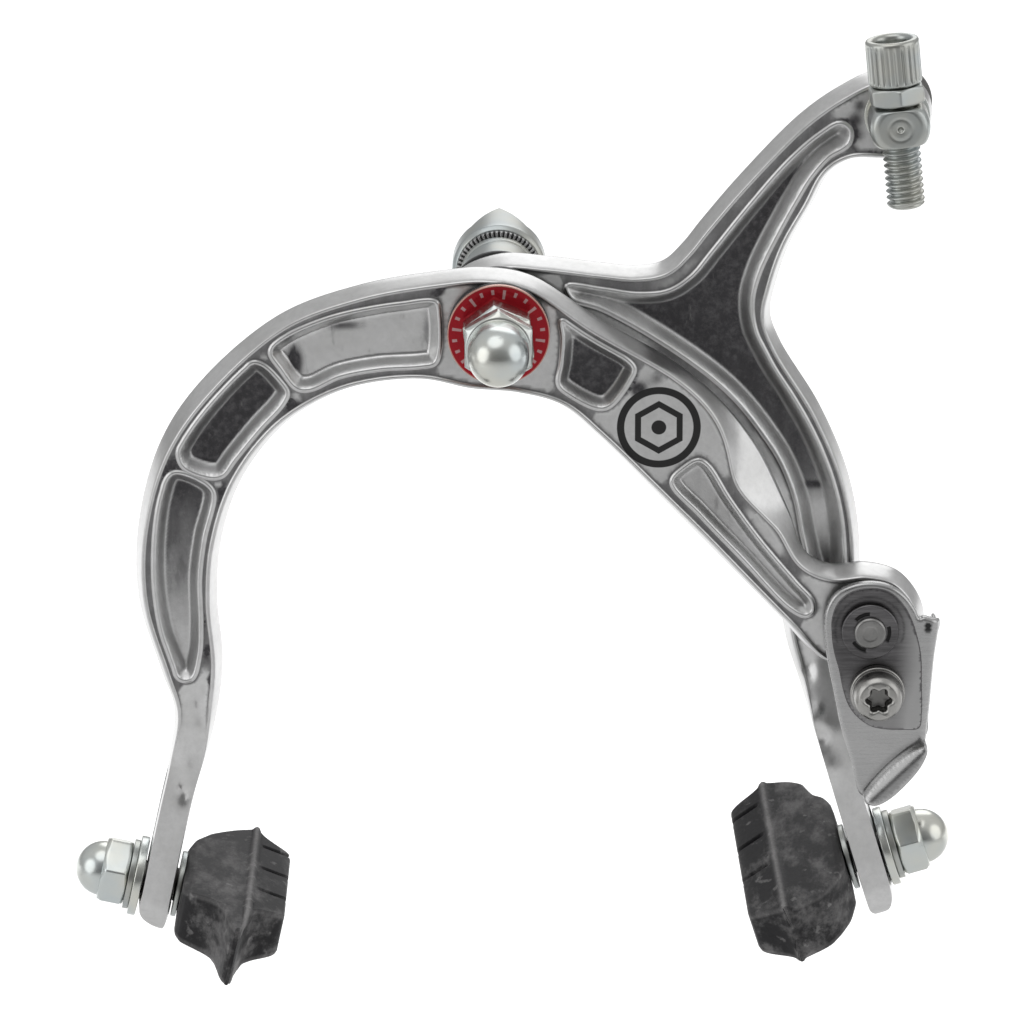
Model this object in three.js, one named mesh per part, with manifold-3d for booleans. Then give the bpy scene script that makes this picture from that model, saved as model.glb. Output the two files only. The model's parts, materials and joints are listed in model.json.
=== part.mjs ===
// Side-pull rim brake caliper for a bicycle, standing as it hangs on a frame bolt.
// Millimetres. Origin: on the axis of the centre bolt, in the rear face of the radius washer,
// which is the plane where the caliper meets the frame. +Z is up, the caliper's front is -Y
// and the wheel lies in the plane x = 0.
import * as THREE from 'three';
import { mergeVertices } from 'three/addons/utils/BufferGeometryUtils.js';
import Module from 'manifold-3d';

const wasm = await Module();
wasm.setup();

// ---- Driving dimensions -------------------------------------------------------------------

const roundSides = 24;
const seatGap = 0.25;        // air between pieces seated in the slanted blades
const boltR = 3;             // M6 shaft
const boltHoleR = 3.2;

const stack = {              // faces along the centre bolt, front then rear
  domeTip: -59.6,
  domeNut: [-51.0, -47.8],
  lockNut: [-47.7, -42.7],
  redWasher: [-42.6, -41.6],
  frontThrust: [-41.5, -40.5],
  frontArm: [-40.4, -32.0],
  middleWasher: [-31.9, -30.9],
  rearArm: [-30.8, -22.4],
  rearThrust: [-22.3, -21.4],
  springBlock: [-21.3, -5.9],
  toothedWasher: [-5.8, -4.7],
  radiusWasher: [-4.6, 0],
  flatWasher: [0.1, 1.7],
  mountingNut: [1.8, 9.8],
  boltEnd: 12.6,
};

const bossR = 8.6;           // pivot boss of both arms
const washerR = 7.9;
const nutAcrossFlats = 10;

const draftInset = 1.5;      // how far each arm's face is inset from its parting line
const draftDepth = 3.7;      // depth of the drafted sides, on either face
const branchPocketDepth = 2.6;

// Stud centre at rest, slant of the blade, half its thickness, and its reach below and above.
const bladeLeft = { x: -54.3, z: -93.4, slant: 12.2, half: 2.6, y: -30.9, down: 7.8, up: 34 };
const bladeRight = { x: 58.9, z: -89.5, slant: 16.8, half: 2.45, y: -28.4, down: 10.3, up: 30 };
const bladeHalfWidth = 6.2;
const slotHalfWidth = 3.15;
const slotTravel = 17;       // how far a pad moves up along its slot
const slotBottomSpare = 0.4;

const stud = { r: 2.9, washerR: 6.4, innerWasherR: 6.0, plateHalf: 6.2 };
const pad = { back: 4.1, ridge: 17.2, face: 21.4, halfHeight: 5, tail: 22.7, nose: 22.8 };

const pin = { x: 57.8, z: -47.4, r: 2.5 };
const pinClearance = 0.15;
const anchorBossR = 7.8;
const swingRelief = { innerR: 7.2, outerR: 16, floorY: -36.2, from: -112, to: -4 };   // degrees
const clamp = { x: 59.3, z: -58.4 };
const clampHoleR = 2.7;
const lever = { front: -43.5, sheet: 1.5, panelFront: -42.5, flangeBack: -36.6 };

const tip = { x: 61.4, z: 31.9, bossR: 6.6, boreR: 4.15, shankR: 4 };
const swivel = { front: -40.8, rear: -31.4, r: 4.7, halfHeight: 3, y: -36.1 };
const barrel = { lean: 5.9, top: 13.4, headBottom: 6.35, bottom: -13.2, headR: 4.15, threadR: 2.95 };
const lockNut = { bottom: 3.2, top: 6.15, acrossFlats: 8 };

const springWire = 1.1;      // radius
const springY = -17;
const lugR = 2.2;
const leftLug = { x: -50.2, z: -38 };
const rightLug = { x: 50.4, z: -35 };

// ---- Materials ----------------------------------------------------------------------------

const forged = { color: 0xb4b4b2, roughness: 0.28, metalness: 1 };
const zinc = { color: 0xb9c0c2, roughness: 0.3, metalness: 1 };
const steel = { color: 0x6f7072, roughness: 0.42, metalness: 1 };
const redPaint = { color: 0x7d0f16, roughness: 0.3, metalness: 0.2 };
const rubber = { color: 0x3a3839, roughness: 0.8, metalness: 0 };
const nylon = { color: 0x2c2c2e, roughness: 0.6, metalness: 0 };
const springSteel = { color: 0x8f9294, roughness: 0.35, metalness: 1 };

// ---- Solids: three.js geometry in, three.js geometry out --------------------------------------

// Three.js repeats the vertices along its seams and may close a pole with empty triangles.
// Merging the vertices and leaving those triangles out gives one closed mesh.
function weld(geometry) {
  const bare = geometry.clone();
  bare.deleteAttribute('normal');
  bare.deleteAttribute('uv');
  const merged = mergeVertices(bare, 1e-4);
  const corners = [];
  for (let i = 0; i < merged.index.count; i += 3) {
    const [a, b, c] = [0, 1, 2].map((k) => merged.index.getX(i + k));
    if (a !== b && b !== c && c !== a) corners.push(a, b, c);
  }
  merged.setIndex(corners);
  return merged;
}

function toSolid(geometry) {
  const closed = geometry.userData.closed ? geometry : weld(geometry);
  const vertProperties = new Float32Array(closed.attributes.position.array);
  const triVerts = new Uint32Array(closed.index.array);
  const build = () => new wasm.Manifold(new wasm.Mesh({ numProp: 3, vertProperties, triVerts }));
  const solid = build();
  if (solid.volume() > 0) return solid;
  for (let i = 0; i < triVerts.length; i += 3) {
    [triVerts[i], triVerts[i + 1]] = [triVerts[i + 1], triVerts[i]];
  }
  return build();
}

function toGeometry(solid) {
  const mesh = solid.getMesh();
  const geometry = new THREE.BufferGeometry();
  geometry.setAttribute('position', new THREE.BufferAttribute(new Float32Array(mesh.vertProperties), 3));
  geometry.setIndex(new THREE.BufferAttribute(new Uint32Array(mesh.triVerts), 1));
  geometry.userData.closed = true;
  return geometry;
}

function join(...geometries) {
  return toGeometry(geometries.map(toSolid).reduce((a, b) => a.add(b)));
}

function cut(body, ...tools) {
  return toGeometry(tools.map(toSolid).reduce((a, b) => a.subtract(b), toSolid(body)));
}

function common(a, b) {
  return toGeometry(toSolid(a).intersect(toSolid(b)));
}

// ---- Basic forms ---------------------------------------------------------------------------

const degrees = THREE.MathUtils.degToRad;

// A closed curve through hand-placed points, as a shape in (x, z).
function smoothLoop(points, divisions) {
  const knots = points.map(([x, z]) => new THREE.Vector3(x, z, 0));
  const curve = new THREE.CatmullRomCurve3(knots, true, 'centripetal');
  return new THREE.Shape(curve.getPoints(divisions).slice(0, -1).map((p) => new THREE.Vector2(p.x, p.y)));
}

function polygon(points) {
  return new THREE.Shape(points.map(([x, z]) => new THREE.Vector2(x, z)));
}

// A round outline of straight sides, whose corners lie at radiusOf(corner number).
function star(corners, radiusOf) {
  const points = Array.from({ length: corners }, (_, i) => {
    const angle = (i / corners) * 2 * Math.PI;
    return [radiusOf(i) * Math.cos(angle), radiusOf(i) * Math.sin(angle)];
  });
  return polygon(points);
}

// A shape drawn in (x, z), made solid from its rear face forward to its front face.
function plate(shape, front, rear, options = {}) {
  const { inset = 0, depth = 0, curveSegments = 8 } = options;
  const geometry = new THREE.ExtrudeGeometry(shape, {
    depth: rear - front - 2 * depth,
    bevelEnabled: depth > 0,
    bevelThickness: depth,
    bevelSize: inset,
    bevelOffset: -inset,
    bevelSegments: 1,
    curveSegments,
  });
  return geometry.translate(0, 0, depth).rotateX(Math.PI / 2).translate(0, rear, 0);
}

// A rod along Y from its front face to its rear face.
function rod(radius, front, rear, x = 0, z = 0, sides = roundSides) {
  return new THREE.CylinderGeometry(radius, radius, rear - front, sides)
    .translate(x, (front + rear) / 2, z);
}

// A turned piece around Y: the profile lists [radius, y] and closes on itself or on the axis.
function turned(profile, sides = roundSides) {
  return new THREE.LatheGeometry(profile.map(([r, y]) => new THREE.Vector2(r, y)), sides);
}

function ring(innerR, outerR, front, rear, sides = roundSides) {
  return turned([[innerR, front], [outerR, front], [outerR, rear], [innerR, rear], [innerR, front]], sides);
}

// A washer whose front outer edge is broken by a small chamfer.
function washer(innerR, outerR, front, rear, chamfer = 0.2) {
  return turned([
    [innerR, front], [outerR - chamfer, front], [outerR, front + chamfer], [outerR, rear], [innerR, rear],
    [innerR, front],
  ]);
}

// A hexagon prism with turned corners; its flats are set by the size across them.
function hexBlock(acrossFlats, front, rear) {
  const cornerR = acrossFlats / Math.sqrt(3);
  const edge = 0.45;
  const prism = new THREE.CylinderGeometry(cornerR, cornerR, rear - front, 6)
    .translate(0, (front + rear) / 2, 0);
  const cornerTurn = turned([
    [0, front], [acrossFlats / 2, front], [cornerR + 0.2, front + 2 * edge],
    [cornerR + 0.2, rear - 2 * edge], [acrossFlats / 2, rear], [0, rear],
  ]);
  return common(prism, cornerTurn);
}

function hexNut(acrossFlats, boreR, front, rear) {
  return cut(hexBlock(acrossFlats, front, rear), rod(boreR, front - 1, rear + 1));
}

// A closed-end nut: a hexagon with a turned shoulder and a round dome, bored from the rear.
function domeNut(acrossFlats, boreR, tipY, hexFront, rear) {
  const domeR = acrossFlats * 0.47;
  const straight = hexFront - (tipY + domeR);
  const profile = [[0, hexFront + 0.5], [domeR, hexFront + 0.5], [domeR, hexFront - Math.max(straight, 0)]];
  const steps = 5;
  for (let i = 1; i <= steps; i += 1) {
    const angle = (i / steps) * (Math.PI / 2);
    profile.push([domeR * Math.cos(angle), tipY + domeR - domeR * Math.sin(angle)]);
  }
  profile[profile.length - 1][0] = 0;
  const body = join(hexBlock(acrossFlats, hexFront, rear), turned(profile));
  return cut(body, rod(boreR, tipY + domeR * 0.6, rear + 1));
}

// ---- Arms ----------------------------------------------------------------------------------

// The flat bar that ends each arm: drawn in its own (y, along) plane, slotted for the pad stud,
// its thickness across the slant. Its top slopes into the arm, which lies further forward on the
// left and further back on the right. Built at the origin of its stud, before the slant.
function bladeBar(blade) {
  const endR = Math.min(bladeHalfWidth, blade.down);
  const neck = blade.x < 0 ? 1.6 : 1.8;
  const slopeStart = blade.up - 11;
  const outline = new THREE.Shape();
  outline.moveTo(blade.x < 0 ? -bladeHalfWidth : -neck, blade.up);
  outline.lineTo(-bladeHalfWidth, slopeStart);
  outline.lineTo(-bladeHalfWidth, -(blade.down - endR));
  outline.absarc(0, -(blade.down - endR), endR, Math.PI, 2 * Math.PI);
  outline.lineTo(bladeHalfWidth, slopeStart);
  outline.lineTo(blade.x < 0 ? -neck : bladeHalfWidth, blade.up);
  const lowest = blade.down - slotHalfWidth - 4.2;
  const slot = new THREE.Path();
  slot.absarc(0, slotTravel + slotBottomSpare, slotHalfWidth, 0, Math.PI);
  slot.absarc(0, -Math.max(lowest, slotBottomSpare), slotHalfWidth, Math.PI, 2 * Math.PI);
  outline.holes.push(slot);
  const edge = 0.5;
  const bar = new THREE.ExtrudeGeometry(outline, {
    depth: 2 * (blade.half - edge),
    bevelThickness: edge,
    bevelSize: edge,
    bevelOffset: -edge,
    bevelSegments: 1,
    curveSegments: 9,
  });
  return bar.translate(0, 0, -(blade.half - edge)).rotateX(Math.PI / 2).rotateZ(Math.PI / 2);
}

// Puts a form built at a stud's origin into the arm, leaning by the blade's slant.
function atBlade(geometry, blade) {
  return geometry.rotateY(degrees(blade.x < 0 ? blade.slant : -blade.slant))
    .translate(blade.x, blade.y, blade.z);
}

// The sunk fields of the front arm, from the pivot round to the left blade and then to the right.
const frontPockets = [
  {
    depth: 2.2,
    loop: [
      [-9.6, 4.9], [-21.5, 3.4], [-33.5, -1.2], [-35.8, -3.4], [-31, -9.6], [-24.5, -7.3],
      [-18.3, -6.1], [-9.6, -5.6],
    ],
  },
  {
    depth: 2.6,
    loop: [
      [-48.6, -22.2], [-49.6, -18], [-44, -9.6], [-38.4, -4.8], [-35, -6.6], [-32.4, -10.4],
      [-37, -15.8], [-43, -23.4],
    ],
  },
  {
    depth: 2.2,
    loop: [
      [-51.8, -24.4], [-49.4, -22.8], [-44.6, -25], [-45.8, -34], [-46.7, -43], [-46.5, -51],
      [-47.6, -55], [-49.8, -54.6], [-51.6, -50], [-53, -43.5], [-53.5, -34.5],
    ],
  },
  {
    depth: 2.4,
    loop: [
      [9.6, 1.4], [15.6, -1.8], [20.4, -5], [20.6, -7.4], [17, -11.6], [14.6, -12],
      [8.8, -8.8], [9.8, -3],
    ],
  },
  {
    depth: 1.9,
    loop: [
      [27, -24], [29.4, -21.4], [31.6, -20.8], [36, -27.3], [41, -34], [47.2, -41.2],
      [49.2, -44], [48, -46.2], [45, -44.8], [37.6, -36.9], [31.2, -29.6],
    ],
  },
];

function frontArmOutline() {
  return smoothLoop([
    [-2, 9.1], [-9.5, 8.5], [-21.5, 6.3], [-34, 1.5], [-46.3, -9.2], [-52.8, -19.2], [-56.4, -33],
    [-56.4, -44.5], [-53.2, -56], [-51.4, -63], [-52, -70], [-49.5, -74], [-46.6, -73], [-44.6, -64.5],
    [-43.4, -55], [-44.2, -44], [-43.4, -35], [-40.2, -25.2], [-34, -16.7], [-28, -12.3],
    [-21.5, -9.7], [-12, -8.7], [-4.5, -10.2], [3, -10.9], [9.5, -12.8], [15, -17.4],
    [28.3, -31], [44, -47.4], [50.5, -54.2], [57, -56.2], [63.5, -54], [66.6, -48.5], [66, -44.4],
    [62.5, -40], [57.5, -38.6], [52, -38.9], [48, -36.8], [45.2, -30], [40.7, -20.3], [34.4, -12.2],
    [28, -6.5], [15.7, 0.8], [5, 7.8],
  ], 116);
}

function rearArmOutline() {
  return smoothLoop([
    [0, 8.7], [7.5, 8.4], [15.8, 7.4], [21.5, 7], [26.4, 8.3], [31.3, 14], [37.4, 21.4], [46.6, 31.1],
    [55.5, 37.2], [61, 38.4], [66, 35.4], [67.4, 30.5], [64.5, 25.3], [58.5, 24.1], [53.6, 23.7],
    [48.7, 16.9], [45.3, 10.6], [42.6, 2], [43.8, -5], [50.4, -15.8], [55.2, -28], [57, -40],
    [56.6, -50], [54.8, -59], [54.2, -64.5], [52.8, -67.6], [50.4, -67.6], [48.4, -64], [46.6, -57.5],
    [44.6, -50.2], [42.6, -35], [38.6, -22.8], [32.5, -14.7], [20, -6.2], [10, -5.6], [4, -8.2],
    [-4, -7.9], [-8.6, -1.5], [-6.6, 5.6],
  ], 116);
}

// A sunk field in an arm's front face with sloping walls, drawn at the face.
function pocket(points, face, depth, divisions = 26) {
  const wall = depth + 1;
  const slope = 0.32;
  const geometry = new THREE.ExtrudeGeometry(smoothLoop(points, divisions), {
    depth: 0.5,
    bevelThickness: wall,
    bevelSize: slope * wall,
    bevelOffset: -slope * depth,
    bevelSegments: 1,
  });
  return geometry.rotateX(Math.PI / 2).translate(0, face + depth - wall, 0);
}

function frontArm() {
  const [front, rear] = stack.frontArm;
  const drafted = plate(frontArmOutline(), front, rear, { inset: draftInset, depth: draftDepth });
  const boss = rod(bossR, front, rear, 0, 0, 40);
  const anchorBoss = rod(anchorBossR, front - 0.6, rear, pin.x, pin.z, 40);
  const blade = atBlade(bladeBar(bladeLeft), bladeLeft);
  const lug = rod(lugR, rear - 1, springY + springWire + 1.5, leftLug.x, leftLug.z, 16);
  const body = join(drafted, boss, anchorBoss, blade, lug);
  const pockets = frontPockets.map(({ depth, loop }) => pocket(loop, front, depth));
  const bores = [
    rod(boltHoleR, front - 2, rear + 2),
    rod(pin.r + pinClearance, front - 2, rear + 2, pin.x, pin.z),
  ];
  return cut(body, ...pockets, clampSwingRelief(), ...bores);
}

// The relief around the anchor boss, where the clamp nut swings with the lever.
function clampSwingRelief() {
  const { innerR, outerR, floorY, from, to } = swingRelief;
  const sector = new THREE.Shape();
  sector.absarc(pin.x, pin.z, outerR, degrees(from), degrees(to));
  sector.absarc(pin.x, pin.z, innerR, degrees(to), degrees(from), true);
  return plate(sector, stack.frontArm[0] - 2, floorY);
}

function rearArm() {
  const [front, rear] = stack.rearArm;
  const drafted = plate(rearArmOutline(), front, rear, { inset: draftInset, depth: draftDepth });
  const boss = rod(bossR, front, rear, 0, 0, 40);
  const tipBoss = rod(tip.bossR - 0.4, front - 0.4, rear, tip.x - 0.4, tip.z, 36);
  const blade = atBlade(bladeBar(bladeRight), bladeRight);
  const lug = rod(lugR, rear - 1, springY + springWire + 1.5, rightLug.x, rightLug.z, 16);
  const body = join(drafted, boss, tipBoss, blade, lug);
  const branches = pocket([
    [10.5, 4.4], [16, 3.8], [23.5, 3], [29.7, 5.4], [32.8, 9], [38.9, 17.6], [45, 24.9], [50, 28.8],
    [53.2, 29], [53.4, 26.4], [50.6, 23.6], [47.2, 19.8], [43.4, 12.8], [40.2, 5.6], [40, -1.6], [42.3, -6],
    [47, -14], [51.8, -22.2], [54, -30], [54.2, -37], [52, -41], [49, -39], [46.3, -30.5], [41.6, -20],
    [37.8, -14.6], [30, -7.3], [22, -2.4], [15.5, 0.4], [11, 1.6],
  ], front, branchPocketDepth, 60);
  const counterbore = rod(5.3, front - 2, front + 1.6, tip.x, tip.z);
  const bores = [rod(boltHoleR, front - 2, rear + 2), rod(tip.boreR, front - 2, rear + 2, tip.x, tip.z)];
  return cut(body, branches, counterbore, ...bores);
}

// ---- Centre bolt and what it carries ---------------------------------------------------------

function centreBolt() {
  const front = stack.domeTip + 5;
  const chamfer = 0.6;
  return turned([
    [0, front], [boltR - chamfer, front], [boltR, front + chamfer],
    [boltR, stack.boltEnd - chamfer], [boltR - chamfer, stack.boltEnd], [0, stack.boltEnd],
  ]);
}

// Turned on its front half, with a slot below the bolt that holds the spring.
function springBlock() {
  const [front, rear] = stack.springBlock;
  const body = turned([
    [boltHoleR, front], [5.9, front], [6.2, front + 0.4], [6.2, rear - 0.8], [5.4, rear], [boltHoleR, rear],
    [boltHoleR, front],
  ]);
  const saddle = new THREE.BoxGeometry(20, 2 * springWire + 0.3, 4)
    .translate(0, springY, -3.2 - 2);
  return cut(body, saddle);
}

// One wire: from behind the front arm, under the bolt through the block, to behind the rear arm.
function returnSpring() {
  const route = new THREE.CatmullRomCurve3([
    [leftLug.x + lugR + springWire + 0.2, leftLug.z - 3.5],
    [leftLug.x + lugR + springWire + 0.6, leftLug.z + 3],
    [-43, -22], [-34, -12.5], [-21, -6.6], [-9, -4.6], [0, -4.5], [9, -4.6], [21, -6.8], [33, -13.4],
    [41.8, -22.5], [rightLug.x - lugR - springWire - 0.5, rightLug.z + 3],
    [rightLug.x - lugR - springWire - 0.2, rightLug.z - 3.5],
  ].map(([x, z]) => new THREE.Vector3(x, springY, z)), false, 'centripetal');
  const section = new THREE.Shape().absarc(0, 0, springWire, 0, 2 * Math.PI);
  return new THREE.ExtrudeGeometry(section, {
    steps: 44, extrudePath: route, bevelEnabled: false, curveSegments: 5,
  });
}

// A flat disc whose rim carries a crown of small teeth.
function toothedWasher() {
  const [front, rear] = stack.toothedWasher;
  const teeth = 24;
  const outline = star(2 * teeth, (i) => (i % 2 ? 5.9 : 6.5));
  outline.holes.push(new THREE.Path().absarc(0, 0, boltHoleR, 0, 2 * Math.PI));
  return plate(outline, front, rear, { curveSegments: 12 });
}

// The thick washer between caliper and frame: its rear is hollowed to sit on an upright round tube.
function radiusWasher() {
  const [front, rear] = stack.radiusWasher;
  const outerR = 7.5;
  const tubeR = 14;
  const hollow = 1.6;
  const disk = turned([
    [boltHoleR, front], [outerR - 0.5, front], [outerR, front + 0.5], [outerR, rear], [boltHoleR, rear],
    [boltHoleR, front],
  ], 40);
  const tube = new THREE.CylinderGeometry(tubeR, tubeR, 30, 64).rotateX(Math.PI / 2)
    .translate(0, rear + tubeR - hollow, 0);
  return cut(disk, tube);
}

// ---- Cable anchor lever ------------------------------------------------------------------------

function leverPlate() {
  const { front, sheet, panelFront, flangeBack } = lever;
  const face = smoothLoop([
    [50.9, -47.5], [52.9, -42.6], [57.8, -40.1], [62.8, -42.4], [65.6, -47.5], [66.4, -54], [65.6, -62.5],
    [60.5, -64.4], [55.6, -62.4], [53, -57.5],
  ], 36);
  const panel = polygon([
    [53.2, -57.5], [55, -67], [57, -75.2], [58.6, -75.6], [66, -67], [66.2, -59],
  ]);
  const facePlate = plate(face, front, front + sheet);
  const panelPlate = plate(panel, panelFront, panelFront + sheet);
  const flange = plate(
    polygon([[66.1, -65.6], [67.4, -65.4], [68.9, -49.4], [69.6, -47.2], [68.4, -46.2], [67.3, -48.5]]),
    front + 0.1,
    flangeBack,
  );
  const bridge = plate(
    polygon([[65, -52], [67.9, -52], [66.9, -65], [64.6, -65]]),
    front + 0.1,
    front + sheet,
  );
  const tab = plate(
    polygon([[57.6, -76], [58.6, -76.6], [66.9, -67], [66.1, -65.9]]),
    -46.4,
    panelFront + sheet,
  );
  const body = join(facePlate, panelPlate, flange, bridge, tab);
  return cut(
    body,
    rod(pin.r + pinClearance, front - 1, front + 6, pin.x, pin.z),
    rod(clampHoleR, front - 1, front + 6, clamp.x, clamp.z),
  );
}

// Headed pin, pressed into the front arm, on which the lever turns.
function anchorPin() {
  const { x, z, r } = pin;
  const shaft = turned([
    [0, -45.6], [r - 0.3, -45.6], [r, -45.3], [r, -44.9], [r - 0.45, -44.9], [r - 0.45, -44.3], [r, -44.3],
    [r, -32.1], [0, -32.1],
  ]);
  return shaft.translate(x, 0, z);
}

// Spring clip snapped into the groove of the pin, open at one side.
function pinRetainer() {
  const clip = ring(pin.r - 0.25, 4.35, -44.8, -44.4, 28);
  const mouth = new THREE.BoxGeometry(3, 3, 4).translate(0, -44.6, -3.6);
  return cut(clip, mouth).translate(pin.x, 0, pin.z);
}

function clampScrew() {
  const head = turned([[0, -49], [3.3, -49], [4.15, -48], [4.15, -45.5], [0, -45.5]], 28);
  const shank = rod(2.5, -45.6, -37.4);
  const socket = new THREE.CylinderGeometry(2.3, 2.3, 3.4, 6).translate(0, -48.3, 0);
  return cut(join(head, shank), socket).translate(clamp.x, 0, clamp.z);
}

function clampWasher() {
  return washer(clampHoleR, 4.3, -45.3, -43.7, 0.25).translate(clamp.x, 0, clamp.z);
}

// The square nut behind the lever that the clamp screw pulls against.
function clampNut() {
  const half = 3.5;
  const nut = plate(
    polygon([[-half, -half], [half, -half], [half, half - 0.6], [-half, half - 0.6]]),
    lever.front + lever.sheet + 1.2,
    -37.4,
  );
  return cut(nut, rod(2.65, -46, -36)).translate(clamp.x, 0, clamp.z);
}

// ---- Cable stop ----------------------------------------------------------------------------------

// Everything here is built upright at the swivel's centre, then leaned as one.
function barrelSwivel() {
  const { front, rear, r, halfHeight, y } = swivel;
  const head = turned([[0, front], [r - 0.5, front], [r, front + 0.5], [r, rear], [0, rear]], 36);
  const flats = new THREE.BoxGeometry(20, 40, 2 * halfHeight).translate(0, y, 0);
  const collar = common(head, flats);
  const shank = rod(tip.shankR, rear - 0.2, -20.6);
  const groove = ring(tip.shankR - 0.7, tip.shankR + 1, -22, -21.3);
  const crossBore = new THREE.CylinderGeometry(3.1, 3.1, 12, roundSides).rotateX(Math.PI / 2)
    .translate(0, y, 0);
  return cut(join(collar, shank), crossBore, groove);
}

function swivelWasher() {
  return washer(tip.shankR + 0.15, 5.1, -31.2, -29.4, 0.2);
}

function swivelClip() {
  const clip = ring(tip.shankR - 0.55, 6, -21.9, -21.4, 28);
  return cut(clip, new THREE.BoxGeometry(4, 3, 6).translate(0, -21.6, -5.4));
}

function adjusterLocknut() {
  const { bottom, top, acrossFlats } = lockNut;
  return hexNut(acrossFlats, 3.1, bottom, top).rotateX(Math.PI / 2).translate(0, swivel.y, 0);
}

// Knurled head on a threaded stem, with a seat for the cable housing above a finer cable hole.
function adjusterBarrel() {
  const { top, headBottom, bottom, headR, threadR } = barrel;
  const flutes = 18;
  const fluteDepth = 0.3;
  const outline = star(4 * flutes, (i) => (i % 4 < 2 ? headR : headR - fluteDepth));
  const head = new THREE.ExtrudeGeometry(outline, { depth: top - headBottom, bevelEnabled: false })
    .translate(0, 0, headBottom);
  const stem = new THREE.CylinderGeometry(threadR, threadR, headBottom - bottom + 0.5, roundSides)
    .rotateX(Math.PI / 2).translate(0, 0, (headBottom + 0.5 + bottom) / 2);
  const housingSeat = new THREE.CylinderGeometry(2.75, 2.75, 8, 24).rotateX(Math.PI / 2)
    .translate(0, 0, top - 2.5);
  const cableHole = new THREE.CylinderGeometry(1.1, 1.1, 60, 16).rotateX(Math.PI / 2);
  return cut(join(head, stem), housingSeat, cableHole).translate(0, swivel.y, 0);
}

// ---- Brake pads ------------------------------------------------------------------------------------

// Built with the stud along X: the blade's middle at x = 0 and the wheel towards +x.
const seat = (blade) => blade.half + seatGap;

function alongX(geometry) {
  return geometry.rotateZ(Math.PI / 2);
}

function padOuterWasher(blade) {
  return alongX(washer(3.1, stud.washerR, seat(blade), seat(blade) + 1.1, 0.2));
}

function padLockWasher(blade) {
  const from = seat(blade) + 1.1 + seatGap;
  return alongX(washer(3.1, 5.2, from, from + 0.6, 0.1));
}

function padNut(blade) {
  const from = seat(blade) + 1.7 + 2 * seatGap;
  return alongX(domeNut(nutAcrossFlats, 3.1, -(from + 8.4), -(from + 4), -from).rotateX(Math.PI));
}

function padInnerWasher(blade) {
  return alongX(washer(3.1, stud.innerWasherR, -(seat(blade) + 0.8), -seat(blade), 0.15));
}

// The threaded post and the plate that is moulded into the rubber.
function padStud(blade) {
  const reach = seat(blade) + 1.7 + 2 * seatGap + 5.2;
  const plateFace = pad.back + 1.4;
  const post = new THREE.CylinderGeometry(stud.r, stud.r, reach + plateFace + 0.5, 24).rotateZ(Math.PI / 2)
    .translate((plateFace + 0.5 - reach) / 2, 0, 0);
  const base = new THREE.BoxGeometry(1.6, 2 * stud.plateHalf, 7).translate(plateFace + 0.8, 0, 0);
  return join(post, base);
}

// Rubber block: a plan with a drawn-out nose crossed with a section that tapers to the rim.
function padBlock() {
  const { back, ridge, face, halfHeight, tail, nose } = pad;
  const plan = new THREE.Shape();
  plan.moveTo(back, tail - 4.5);
  plan.lineTo(back + 3.6, tail - 0.8);
  plan.lineTo(ridge - 5, tail);
  plan.lineTo(ridge + 0.6, tail);
  plan.lineTo(face - 1, tail - 2.6);
  plan.lineTo(face, tail - 4);
  plan.lineTo(face, -14.6);
  plan.lineTo(face - 0.8, -15.6);
  plan.quadraticCurveTo(ridge + 1.4, -15.8, ridge - 0.6, -nose + 0.8);
  plan.quadraticCurveTo(ridge - 1.4, -nose - 0.6, ridge - 2.2, -nose + 0.8);
  plan.quadraticCurveTo(ridge - 3.4, -18, ridge - 5.2, -16.6);
  plan.lineTo(back + 2.6, -14.4);
  plan.lineTo(back, -11.5);
  const body = new THREE.ExtrudeGeometry(plan, {
    depth: 2 * halfHeight + 2, bevelEnabled: false, curveSegments: 5,
  }).translate(0, 0, -halfHeight - 1);
  const section = polygon([
    [back - 0.1, -3.9], [back + 1.8, -4.6], [ridge - 0.8, -halfHeight], [ridge - 0.5, -halfHeight - 0.45],
    [ridge + 0.3, -halfHeight - 0.45], [ridge + 0.6, -halfHeight + 0.2], [face, -3.5],
    [face, 3.5], [ridge + 0.6, halfHeight - 0.2], [ridge + 0.3, halfHeight + 0.45],
    [ridge - 0.5, halfHeight + 0.45], [ridge - 0.8, halfHeight], [back + 1.8, 4.6], [back - 0.1, 3.9],
  ]);
  const bar = plate(section, -40, 40);
  const grooves = [];
  for (let i = -1; i <= 2; i += 1) {
    grooves.push(new THREE.BoxGeometry(3.6, 1, 16).rotateX(degrees(28)).translate(face, i * 9.2 - 1, 0));
  }
  const plateSeat = new THREE.BoxGeometry(2.2, 2 * stud.plateHalf + 0.6, 7.6).translate(back + 2.2, 0, 0);
  const postSeat = new THREE.CylinderGeometry(stud.r + 0.3, stud.r + 0.3, 6, 24).rotateZ(Math.PI / 2)
    .translate(back, 0, 0);
  return cut(common(body, bar), ...grooves, plateSeat, postSeat);
}

// ---- Assembly -----------------------------------------------------------------------------------------

const caliper = new THREE.Group();

function addTo(group, name, geometry, look) {
  const mesh = new THREE.Mesh(toGeometry(toSolid(geometry)), new THREE.MeshStandardMaterial(look));
  mesh.name = name;
  group.add(mesh);
  return mesh;
}

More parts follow.
